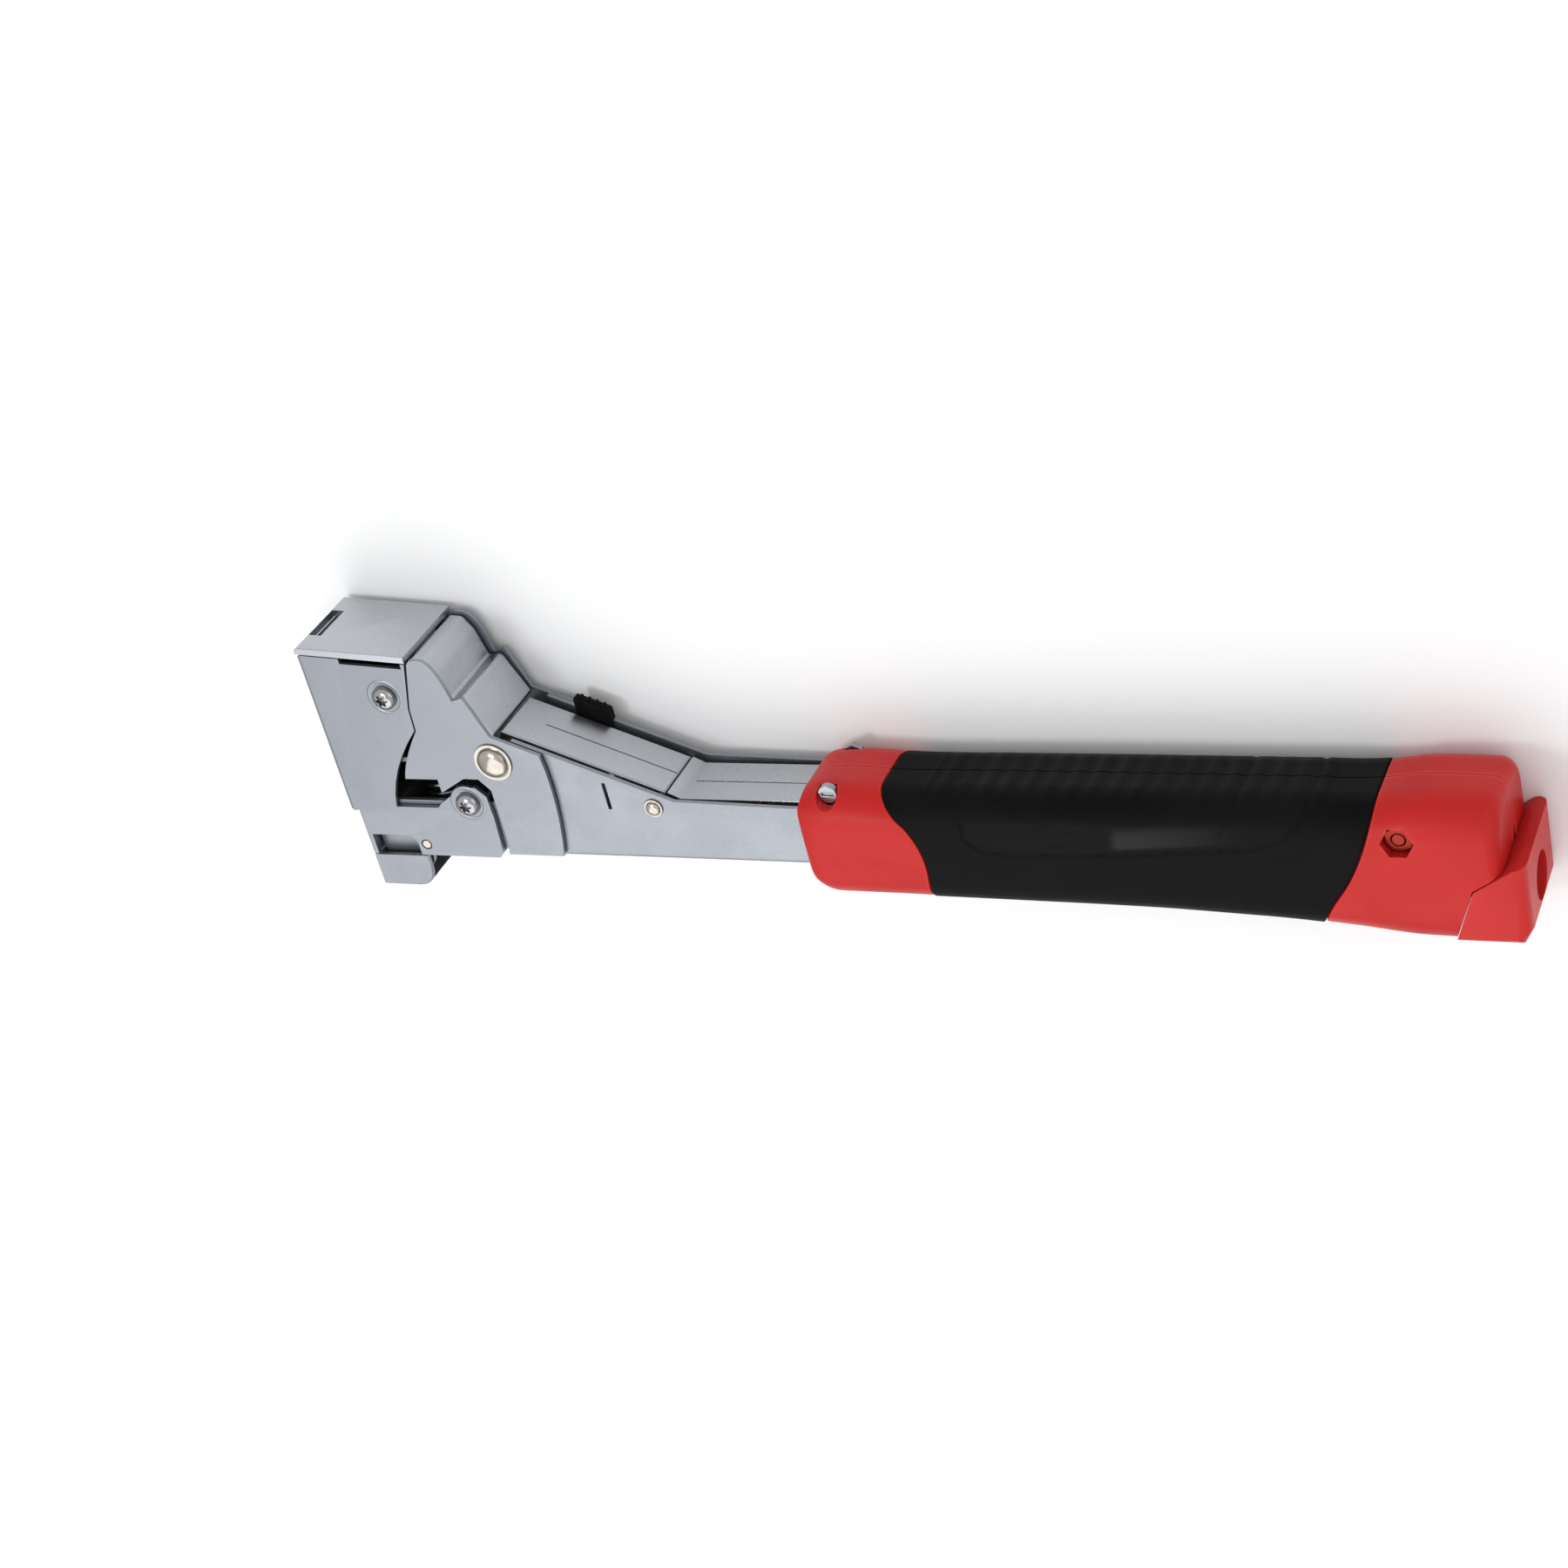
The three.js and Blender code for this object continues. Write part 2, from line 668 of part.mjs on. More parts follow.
function capOutline(gap) {
  const shape = new THREE.Shape();
  shape.moveTo(gripRear - 19 + gap, -40);
  shape.lineTo(gripRear - 18 + gap, rearBack);
  shape.lineTo(gripRear - 12 + gap, 1.5 - gap);
  shape.lineTo(gripRear - 3, 7.4 - gap);
  shape.lineTo(gripRear + 20, 12 - gap);
  shape.lineTo(gripRear + 20, -40);
  return shape;
}

const capPlug = { half: 6.5, low: -5.5, high: 1, length: 16 };

function steelRoom() {
  const room = box(
    0, coreRear + running, -running, handleTopY - 0.7, -bodyOuter - running, bodyOuter + running,
  );
  const well = box(
    gripRear - 15 - capPlug.length, farAway,
    capPlug.low - running, capPlug.high + running,
    -capPlug.half - running, capPlug.half + running,
  );
  return room.add(well);
}

const frontSeat = 7.9; // from the middle plane to the seats of the front screw's head and nut
const rearSeat = gripHalf - 4.1;
const gripNutAcross = 6;

function screwBores() {
  const shafts = unite([
    bar(frontScrew, gripShank + boreGap, -farAway, farAway, 18),
    bar(rearScrew, gripShank + boreGap, -farAway, farAway, 18),
  ]);
  const seats = both((side) => {
    const [low, high] = span(side, frontSeat - 0.3, farAway);
    const [rearLow, rearHigh] = span(side, rearSeat - 0.3, farAway);
    const rearWell = side > 0
      ? bar(rearScrew, gripNutAcross / Math.sqrt(3) + 1, rearLow, rearHigh, 6)
      : bar(rearScrew, gripHead + 1, rearLow, rearHigh, 20);
    return bar(frontScrew, gripHead + boreGap, low, high, 20).add(rearWell);
  });
  return shafts.add(seats);
}

// Everything on one side of the middle plane, from gap outwards.
const oneSide = (side, gap) => {
  const [low, high] = span(side, gap, farAway);
  return box(-farAway, farAway, -farAway, farAway, low, high);
};

function gripShell(side) {
  const recess = softBand(0).subtract(gripBody(softDepth, coreCorner));
  return gripBody(shellDrop)
    .subtract(recess)
    .subtract(steelRoom())
    .subtract(plate(capOutline(0), -farAway, farAway))
    .subtract(screwBores())
    .intersect(oneSide(side, running / 2));
}

function softCover(side) {
  return gripBody(0)
    .intersect(softBand(running))
    .subtract(gripBody(softDepth - running, coreCorner))
    .intersect(oneSide(side, running / 2));
}

function capBlock(draw) {
  const rear = gripRear - draw;
  const heel = rearBack + 2.6 + draw;
  return shapeOf([
    [gripRear - 30 + draw, heel],
    [rear - 0.8, heel],
    [rear, heel + 1.5],
    [rear, 9.4 - draw],
    [gripRear - 30 + draw, 9.4 - draw],
  ]);
}

function endCap() {
  const recess = turned(new THREE.Vector2(0, 0), [
    [0, -3],
    [5.4, -3],
    [5.8, 3],
    [0, 3],
  ]);
  const body = gripBody(0, 3, capBlock).intersect(plate(capOutline(running), -farAway, farAway));
  const plug = box(
    gripRear - 14 - capPlug.length, gripRear - 8,
    capPlug.low, capPlug.high, -capPlug.half, capPlug.half,
  );
  const turnedRecess = recess.rotate([0, 90, 0]).translate([gripRear, -3.5, 0]);
  return body.add(plug).subtract(turnedRecess);
}

// A grip screw whose head sits at seat on one side, with its tip as far out on the other side.
function gripScrew(centre, side, seat, tip) {
  const [low, high] = span(side, seat, seat + gripHeadHeight);
  const shaft = side > 0
    ? bar(centre, gripShank, -tip, low + 0.1, 16)
    : bar(centre, gripShank, high - 0.1, tip, 16);
  const slotHalf = 0.4;
  const slot = box(
    centre.x - gripShank, centre.x + gripShank, centre.y - slotHalf, centre.y + slotHalf,
    side > 0 ? high - 0.7 : low - 1, side > 0 ? high + 1 : low + 0.7,
  );
  return shaft.add(bar(centre, gripHead, low, high, 20)).subtract(slot);
}

function gripNut(centre, side, seat, across) {
  const [low, high] = span(side, seat, seat + gripHeadHeight);
  return hexNut(centre, across, low, high, gripShank + 0.15);
}

// Assembly ---------------------------------------------------------------------------------------------

addPiece("handle_channel", handleChannel(), zincSteel());
addPiece("handle_core", handleCore(), zincSteel());
addPiece("pivot_rivet", domedRivet(pivot, pivotRadius, pivotHead, bodyOuter, 1.3), nickel());
addPiece("spring_base", springBase(), darkSteel());
addPiece("driver_carrier", driverCarrier(), darkSteel());
addPiece("rubber_buffer", rubberBuffer(), blackRubber());
addPiece("near_grip_shell", gripShell(1), redPlastic());
addPiece("far_grip_shell", gripShell(-1), redPlastic());
addPiece("near_soft_cover", softCover(1), blackRubber());
addPiece("far_soft_cover", softCover(-1), blackRubber());
addPiece("front_grip_screw", gripScrew(frontScrew, 1, frontSeat, frontSeat + gripHeadHeight), darkSteel());
addPiece("front_grip_nut", gripNut(frontScrew, -1, frontSeat, 4.6), darkSteel());
addPiece("rear_grip_screw", gripScrew(rearScrew, -1, rearSeat, rearSeat + gripHeadHeight), darkSteel());
addPiece("rear_grip_nut", gripNut(rearScrew, 1, rearSeat, gripNutAcross), darkSteel());

addPiece("nose_shell", noseShell(), zincSteel());
addPiece("near_cover_plate", coverPlate(1), zincSteel());
addPiece("far_cover_plate", coverPlate(-1), zincSteel());
addPiece("hood", hood(), zincSteel());
addPiece("strike_plate", strikePlate(), zincSteel());
addPiece("neck_channel", neckChannel(), zincSteel());
addPiece("staple_rail", stapleRail(), darkSteel());
addPiece("staple_strip", stapleStrip(), nickel());
addPiece("feed_wall", feedWall(), darkSteel());
addPiece("spring_bridge", springBridge(), darkSteel());
addPiece(
  "cross_rivet",
  domedRivet(crossRivet, crossRivetRadius, crossRivetHead, noseOuter, headProud),
  nickel(),
);
for (const [name, centre] of [["upper", upperStar], ["lower", lowerStar]]) {
  addPiece(name + "_star_screw", starScrew(centre), nickel());
  addPiece(name + "_star_nut", starNut(centre), nickel());
  addPiece(name + "_spacer", spacer(centre), darkSteel());
}
addPiece("return_spring", returnSpring(), springSteel());
addPiece("follower", follower(), darkSteel());
addPiece("follower_spring", followerSpring(), springSteel());
addPiece("driver_blade", driverBlade(), darkSteel());
addPiece("release_latch", releaseLatch(), zincSteel());
addPiece("latch_pin", latchPinPiece(), nickel());
addPiece("end_cap", endCap(), redPlastic());

const lowestY = rearBack + shellDrop;
const highestY = strikeY(1);
tool.position.set(-gripRear / 2, -(highestY + lowestY) / 2, gripHalf);

const group = new THREE.Group();
group.add(tool);

export default group;
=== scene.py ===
"""Hammer tacker: the finished surfaces of a sprung sheet steel head and a two-part moulded grip.

The tool lies on its far side. Sizes in the helpers below are in millimetres from the nose's front corner
on the back line: x along the tool, y from the back towards the strike face, z from the middle plane to
the near side. at() turns them into places in the scene.
"""

import json
import math

import bmesh
import bpy
from bpy.props import FloatProperty, FloatVectorProperty, IntProperty, PointerProperty
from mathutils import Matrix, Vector

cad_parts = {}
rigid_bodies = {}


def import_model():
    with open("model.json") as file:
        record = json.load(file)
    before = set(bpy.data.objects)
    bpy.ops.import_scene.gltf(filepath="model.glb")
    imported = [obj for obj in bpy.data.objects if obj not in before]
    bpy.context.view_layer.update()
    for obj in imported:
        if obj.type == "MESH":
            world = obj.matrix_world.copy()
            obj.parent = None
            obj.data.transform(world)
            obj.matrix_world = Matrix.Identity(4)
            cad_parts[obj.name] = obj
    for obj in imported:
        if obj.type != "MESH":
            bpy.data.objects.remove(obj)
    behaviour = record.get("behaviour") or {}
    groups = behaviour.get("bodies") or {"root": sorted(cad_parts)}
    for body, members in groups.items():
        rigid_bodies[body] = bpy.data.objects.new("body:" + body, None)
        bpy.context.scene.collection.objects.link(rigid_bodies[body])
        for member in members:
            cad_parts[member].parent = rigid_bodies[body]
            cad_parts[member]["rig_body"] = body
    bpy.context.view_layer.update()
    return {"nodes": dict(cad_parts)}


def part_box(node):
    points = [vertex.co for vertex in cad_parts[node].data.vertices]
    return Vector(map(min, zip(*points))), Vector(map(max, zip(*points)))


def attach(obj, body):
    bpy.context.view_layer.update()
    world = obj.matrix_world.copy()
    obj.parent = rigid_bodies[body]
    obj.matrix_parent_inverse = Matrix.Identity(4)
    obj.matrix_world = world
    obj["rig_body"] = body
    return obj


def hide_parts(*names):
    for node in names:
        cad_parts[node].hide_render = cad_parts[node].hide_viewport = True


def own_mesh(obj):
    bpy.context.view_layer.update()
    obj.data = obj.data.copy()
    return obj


bl_info = {
    "name": "Hammer tacker",
    "version": (1, 0, 0),
    "blender": (4, 5, 0),
    "location": "View3D > Sidebar > Tacker",
    "description": "Models and finishes every piece of a hammer tacker round its fixed frame",
    "category": "Object",
}

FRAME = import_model()
MM = 0.001
NOSE_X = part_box("nose_shell")[0].x
BACK_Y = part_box("handle_channel")[0].y
MID_Z = sum(corner.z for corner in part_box("handle_channel")) / 2

# Places and sizes that the pieces share, in millimetres on the tool
GRIP_FRONT = (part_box("near_grip_shell")[0].x - NOSE_X) / MM
GRIP_REAR = (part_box("end_cap")[1].x - NOSE_X) / MM
SHELL_REAR = (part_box("near_grip_shell")[1].x - NOSE_X) / MM
STAR_SCREWS = {"upper": (22.3, 46.9), "lower": (36.2, 16.0)}
CROSS_RIVET = (47.3, 28.5)
PIVOT = (87.4, 15.2)
FRONT_SCREW = (133.9, 19.3)
REAR_SCREW = (268.2, 13.0)
NOSE_OUTER = 12.5  # from the middle plane to the outside of the nose's plates
HANDLE_OUTER = 11.0
HOOD_OUTER = 11.0
NECK_OUTER = 8.0
GRIP_HALF = 14.5
SEAM_HALF = 0.15  # half the gap between the grip's two halves
STRIKE_TOP, STRIKE_FALL = 61.0, 0.0857  # the strike face's height at the nose, and its fall along x
STEP_X, STEP_Y = 2.6, 13.1  # the nose's front edge steps in below here
ARCH_BEND = 0.5
NECK_DROP = 0.5  # the neck channel lies this far below the plates' upper edge
NECK_BEND = 0.7
HEAD_GAP = 0.1  # heads stand this far off the plates
SPRING_X = 23.6
SLOPE_GAP = 0.12  # how close to a line a vertex counts as on it, where plates slope


def at(x, y, z=0.0):
    """A place on the tool, given in millimetres, as a point in the scene."""
    return Vector((NOSE_X + x * MM, BACK_Y + y * MM, MID_Z + z * MM))


def on_tool(point):
    """The other way round: a point in the scene as millimetres on the tool."""
    return Vector(((point.x - NOSE_X) / MM, (point.y - BACK_Y) / MM, (point.z - MID_Z) / MM))


# Working with objects -------------------------------------------------


def deselect():
    if bpy.context.mode != "OBJECT":
        bpy.ops.object.mode_set(mode="OBJECT")
    bpy.ops.object.select_all(action="DESELECT")


def activate(piece):
    deselect()
    piece.select_set(True)
    bpy.context.view_layer.objects.active = piece
    return piece


def start(piece, mode="EDGE"):
    """Opens a piece in edit mode with nothing selected."""
    activate(piece)
    bpy.ops.object.mode_set(mode="EDIT")
    bpy.ops.mesh.select_mode(type=mode)
    bpy.ops.mesh.select_all(action="DESELECT")
    return bmesh.from_edit_mesh(piece.data)


def close():
    bpy.ops.object.mode_set(mode="OBJECT")


def on_all_faces(piece, operator, **settings):
    """Runs a mesh operator on the whole of a piece."""
    start(piece, "FACE")
    bpy.ops.mesh.select_all(action="SELECT")
    operator(**settings)
    close()


def added(name):
    """Names the primitive that an operator has just added."""
    piece = bpy.context.view_layer.objects.active
    piece.name = name
    piece.data.name = name
    return piece


def settle(piece):
    activate(piece)
    bpy.ops.object.transform_apply(location=True, rotation=True, scale=True)
    return piece


def apply_modifier(piece, kind, **settings):
    activate(piece)
    modifier = piece.modifiers.new(kind.title(), kind)
    for key, value in settings.items():
        setattr(modifier, key, value)
    bpy.ops.object.modifier_apply(modifier=modifier.name)


def cut(piece, cutter, operation="DIFFERENCE"):
    """Cuts a piece with another one, which is then thrown away."""
    apply_modifier(piece, "BOOLEAN", object=cutter, operation=operation, solver="MANIFOLD")
    if not piece.data.polygons:
        raise RuntimeError(piece.name + " vanished when it was cut with " + cutter.name)
    bpy.data.objects.remove(cutter)


def soften(piece, width, segments=2, angle=32.0):
    """Breaks the sharp edges and shades the rest smooth."""
    if width > 0:
        apply_modifier(
            piece, "BEVEL", width=width * MM, segments=segments, limit_method="ANGLE",
            angle_limit=math.radians(angle), use_clamp_overlap=True, harden_normals=False,
        )
    activate(piece)
    bpy.ops.object.shade_smooth_by_angle(angle=math.radians(angle))
    if width > 0:
        apply_modifier(piece, "WEIGHTED_NORMAL", weight=50, keep_sharp=True)


def join(pieces, name):
    activate(pieces[0])
    for piece in pieces[1:]:
        piece.select_set(True)
    if len(pieces) > 1:
        bpy.ops.object.join()
    pieces[0].name = name
    pieces[0].data.name = name
    return pieces[0]


def finish_piece(piece, finish, slot, *nodes):
    """Gives a finished piece its finish, and its place on the body of the nodes it stands for."""
    piece.data.materials.clear()
    piece.data.materials.append(finish)
    body = FRAME["nodes"][nodes[0]]["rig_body"]
    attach(piece, body)
    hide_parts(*nodes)
    return piece


def clean_copy(node):
    """A copy of a frame node with its loose triangles merged and its flat faces made whole."""
    name = node.capitalize()
    piece = bpy.data.objects.new(name, FRAME["nodes"][node].data.copy())
    bpy.context.scene.collection.objects.link(piece)
    piece.data.name = name
    start(piece, "VERT")
    bpy.ops.mesh.select_all(action="SELECT")
    bpy.ops.mesh.remove_doubles(threshold=0.004 * MM)
    bpy.ops.mesh.dissolve_limited(angle_limit=math.radians(0.7), use_dissolve_boundaries=False)
    bpy.ops.mesh.normals_make_consistent(inside=False)
    close()
    return piece


def finished_copy(node, finish, slot, width, segments=2, angle=32.0):
    """A frame node's copy with its edges broken and its finish on."""
    piece = clean_copy(node)
    soften(piece, width, segments, angle)
    return finish_piece(piece, finish, slot, node)


def fold(piece, test, radius, segments=4, across=True):
    """Rounds the edges whose two ends pass a test, as a bend in the sheet.

    Edges that run over the sheet's width are left alone when across is false.
    """
    mesh = start(piece)
    for edge in mesh.edges:
        first, second = (on_tool(vertex.co) for vertex in edge.verts)
        if test(first) and test(second) and (across or near(first.z, second.z)):
            edge.select = True
    if not any(edge.select for edge in mesh.edges):
        raise RuntimeError(piece.name + " has no edge to fold there")
    mesh.select_flush(True)
    bmesh.update_edit_mesh(piece.data)
    bpy.ops.mesh.bevel(offset=radius * MM, segments=segments, affect="EDGES", clamp_overlap=True)
    close()


def near(value, target, gap=0.06):
    return abs(value - target) < gap


# Turned pieces --------------------------------------------------------


def grow(piece, upwards, profile, centre):
    """Carries the end face of a bar on through a list of [radius, height] pairs."""
    mesh = start(piece, "FACE")
    mesh.faces.ensure_lookup_table()
    sign = 1 if upwards else -1
    face = max(mesh.faces, key=lambda f: sign * f.calc_center_median().z)
    face.select = True
    mesh.select_flush(True)
    bmesh.update_edit_mesh(piece.data)
    radius, height = profile[0]
    for next_radius, next_height in profile[1:]:
        bpy.ops.mesh.extrude_region_move(
            TRANSFORM_OT_translate={"value": (0, 0, (next_height - height) * MM)}
        )
        share = next_radius / radius
        bpy.ops.transform.resize(
            value=(share, share, 1), center_override=(centre.x, centre.y, centre.z)
        )
        radius, height = next_radius, next_height
    close()


def turned(name, centre, profile, sides=64, tail=None):
    """A turned bar along z at centre (x, y): profile climbs, and tail goes the other way."""
    (radius, top), low = profile[0], (tail or profile)[0][1]
    if tail is None:
        low = top - 0.5
    deselect()
    bpy.ops.mesh.primitive_cylinder_add(
        vertices=sides, radius=radius * MM, depth=(top - low) * MM,
        location=at(*centre, (top + low) / 2),
    )
    piece = settle(added(name))
    grow(piece, True, profile, at(*centre))
    if tail:
        grow(piece, False, tail, at(*centre))
    return piece


def dome(radius, base, height, steps=7, lip=0.35, end=0.12):
    """Profile of a domed head: a short straight lip and then a low curve."""
    points = [[radius, base + lip]]
    for step in range(1, steps + 1):
        turn = math.pi / 2 * step / steps
        across = radius * math.cos(turn)
        points.append([max(across, radius * end), base + lip + (height - lip) * math.sin(turn)])
    return points


def prism(name, outline, low, high):
    """A straight-sided block over an outline in x and y."""
    deselect()
    bpy.ops.mesh.primitive_circle_add(vertices=len(outline), radius=MM, fill_type="NGON")
    piece = settle(added(name))
    for vertex, (x, y) in zip(piece.data.vertices, outline):
        vertex.co = at(x, y, low)
    rise = {"value": (0, 0, (high - low) * MM)}
    on_all_faces(piece, bpy.ops.mesh.extrude_region_move, TRANSFORM_OT_translate=rise)
    on_all_faces(piece, bpy.ops.mesh.normals_make_consistent, inside=False)
    return piece


def ring_outline(centre, radius_at, sides):
    """Points round a centre, whose radius is a function of the angle."""
    points = []
    for side in range(sides):
        angle = 2 * math.pi * side / sides
        radius = radius_at(angle)
        points.append((centre[0] + radius * math.cos(angle), centre[1] + radius * math.sin(angle)))
    return points


# Finishes -------------------------------------------------------------


class Finish:
    """A node material under construction, with short names for the nodes it uses."""

    def __init__(self, name, colour, metallic, roughness):
        self.material = bpy.data.materials.new(name)
        self.material.use_nodes = True
        self.nodes = self.material.node_tree.nodes
        self.links = self.material.node_tree.links
        self.shader = self.nodes["Principled BSDF"]
        self.shader.inputs["Base Color"].default_value = (*colour, 1)
        self.shader.inputs["Metallic"].default_value = metallic
        self.shader.inputs["Roughness"].default_value = roughness
        self.place = self.nodes.new("ShaderNodeTexCoord").outputs["Object"]

    def stretched(self, scale, turn=(0, 0, 0)):
        mapping = self.nodes.new("ShaderNodeMapping")
        mapping.inputs["Scale"].default_value = scale
        mapping.inputs["Rotation"].default_value = turn
        self.links.new(self.place, mapping.inputs["Vector"])
        return mapping.outputs["Vector"]

    def noise(self, scale, detail=3.0, vector=None, distortion=0.0):
        node = self.nodes.new("ShaderNodeTexNoise")
        node.inputs["Scale"].default_value = scale
        node.inputs["Detail"].default_value = detail
        node.inputs["Distortion"].default_value = distortion
        self.links.new(vector or self.place, node.inputs["Vector"])
        return node.outputs["Fac"]

    def cells(self, scale, vector=None):
        node = self.nodes.new("ShaderNodeTexVoronoi")
        node.inputs["Scale"].default_value = scale
        self.links.new(vector or self.place, node.inputs["Vector"])
        return node.outputs["Distance"]

    def spread(self, value, low, high, to_low=0.0, to_high=1.0):
        node = self.nodes.new("ShaderNodeMapRange")
        for key, number in (
            ("From Min", low), ("From Max", high), ("To Min", to_low), ("To Max", to_high),
        ):
            node.inputs[key].default_value = number
        self.links.new(value, node.inputs["Value"])
        return node.outputs["Result"]

    def blend(self, share, first, second):
        """A mix of two colours, each a tuple or a socket."""
        node = self.nodes.new("ShaderNodeMix")
        node.data_type = "RGBA"
        self.links.new(share, node.inputs["Factor"])
        for key, colour in (("A", first), ("B", second)):
            socket = next(s for s in node.inputs if s.name == key and s.type == "RGBA")
            if isinstance(colour, tuple):
                socket.default_value = (*colour, 1)
            else:
                self.links.new(colour, socket)
        return next(s for s in node.outputs if s.type == "RGBA")

    def sum(self, first, second, operation="ADD"):
        node = self.nodes.new("ShaderNodeMath")
        node.operation = operation
        for socket, value in zip(node.inputs, (first, second)):
            if isinstance(value, float):
                socket.default_value = value
            else:
                self.links.new(value, socket)
        return node.outputs["Value"]

    # Share of a painted highlight on sharp convex edges, taken from the mesh's pointiness.
    def painted_edge_highlight(self, low=0.51, high=0.56):
        pointed = self.nodes.new("ShaderNodeNewGeometry").outputs["Pointiness"]
        return self.spread(pointed, low, high)

    def layer(self, name):
        node = self.nodes.new("ShaderNodeAttribute")
        node.attribute_name = name
        return node.outputs["Fac"]

    def colour(self, socket):
        self.links.new(socket, self.shader.inputs["Base Color"])

    def roughness(self, socket):
        self.links.new(socket, self.shader.inputs["Roughness"])

    def bump(self, socket, strength, depth):
        """Adds a layer of relief, depth in millimetres, over what is already there."""
        node = self.nodes.new("ShaderNodeBump")
        node.inputs["Strength"].default_value = strength
        node.inputs["Distance"].default_value = depth * MM
        self.links.new(socket, node.inputs["Height"])
        normal = self.shader.inputs["Normal"]
        if normal.is_linked:
            self.links.new(normal.links[0].from_socket, node.inputs["Normal"])
        self.links.new(node.outputs["Normal"], normal)


def sheet_finish(name, colour, smooth, rough, mottle=0.10, metallic=0.92):
    """Plated sheet: fine rolling marks, cloudy plating, a few rubbed scratches, and a painted highlight
    that lightens the sharp edges.
    """
    finish = Finish(name, colour, metallic, rough)
    cloud = finish.noise(95, 4, distortion=0.4)
    fine = finish.noise(900, 3)
    rolled = finish.noise(1, 2, finish.stretched((260, 3600, 3600)))
    scratch = finish.noise(1, 3, finish.stretched((70, 5200, 900), (0.1, 0.2, 0.55)))
    darker = tuple(part * (1 - mottle * 1.6) for part in colour)
    lighter = tuple(min(1.0, part * (1 + mottle)) for part in colour)
    body = finish.blend(finish.spread(cloud, 0.32, 0.68), darker, lighter)
    body = finish.blend(finish.spread(scratch, 0.68, 0.76, 0.0, 0.2), body, lighter)
    # Painted highlight: the sharp edges are lightened in the colour.
    finish.colour(finish.blend(finish.painted_edge_highlight(), body, lighter))
    mixed = finish.sum(finish.sum(cloud, 0.6, "MULTIPLY"), finish.sum(fine, 0.4, "MULTIPLY"))
    finish.roughness(finish.spread(mixed, 0.32, 0.68, smooth, rough))
    finish.bump(rolled, 0.10, 0.05)
    finish.bump(fine, 0.10, 0.06)
    finish.bump(scratch, 0.03, 0.04)
    return finish.material


def polished_finish(name, colour, smooth, rough):
    """Plated turned steel, with small handling marks."""
    finish = Finish(name, colour, 1.0, smooth)
    cloud = finish.noise(420, 3)
    mark = finish.noise(1, 3, finish.stretched((500, 4200, 700), (0.3, 0.1, 0.8)))
    darker = tuple(part * 0.82 for part in colour)
    finish.colour(finish.blend(finish.spread(cloud, 0.35, 0.7), darker, colour))
    finish.roughness(finish.spread(cloud, 0.3, 0.7, smooth, rough))
    finish.bump(mark, 0.06, 0.04)
    return finish.material


def dark_finish(name, colour):
    """Oiled, blackened steel inside the head."""
    finish = Finish(name, colour, 0.9, 0.45)
    cloud = finish.noise(240, 5, distortion=0.6)
    grain = finish.noise(2400, 2)
    rusty = tuple(part * scale for part, scale in zip(colour, (1.15, 0.98, 0.85)))
    body = finish.blend(finish.spread(cloud, 0.35, 0.65), colour, rusty)
    # Painted highlight: the sharp edges are lightened to a bright grey.
    bright = tuple(min(1.0, part * 2.1) for part in colour)
    finish.colour(finish.blend(finish.painted_edge_highlight(0.52, 0.60), body, bright))
    finish.roughness(finish.spread(cloud, 0.3, 0.7, 0.32, 0.55))
    finish.bump(grain, 0.2, 0.05)
    return finish.material


def plastic_finish(name, colour, shade):
    """Moulded red plastic: fine spark texture, faint flow clouds, paler rubbed streaks, and a painted
    highlight that lightens the sharp edges.
    """
    finish = Finish(name, colour, 0.0, 0.42)
    cloud = finish.noise(55, 3, distortion=0.8)
    spark = finish.noise(3800, 2)
    pits = finish.cells(2600)
    rub = finish.noise(1, 3, finish.stretched((120, 2600, 700), (0.2, 0.4, 0.9)))
    pale = tuple(min(1.0, part * 1.15 + 0.02) for part in colour)
    body = finish.blend(finish.spread(cloud, 0.3, 0.7), colour, shade)
    body = finish.blend(finish.spread(rub, 0.68, 0.76, 0.0, 0.25), body, pale)
    # Painted highlight: the sharp edges are lightened in the colour.
    finish.colour(finish.blend(finish.painted_edge_highlight(0.515, 0.58), body, pale))
    finish.roughness(finish.spread(cloud, 0.3, 0.7, 0.36, 0.50))
    finish.bump(spark, 0.22, 0.06)
    finish.bump(pits, 0.10, 0.05)
    finish.shader.inputs["Specular IOR Level"].default_value = 0.2
    return finish.material


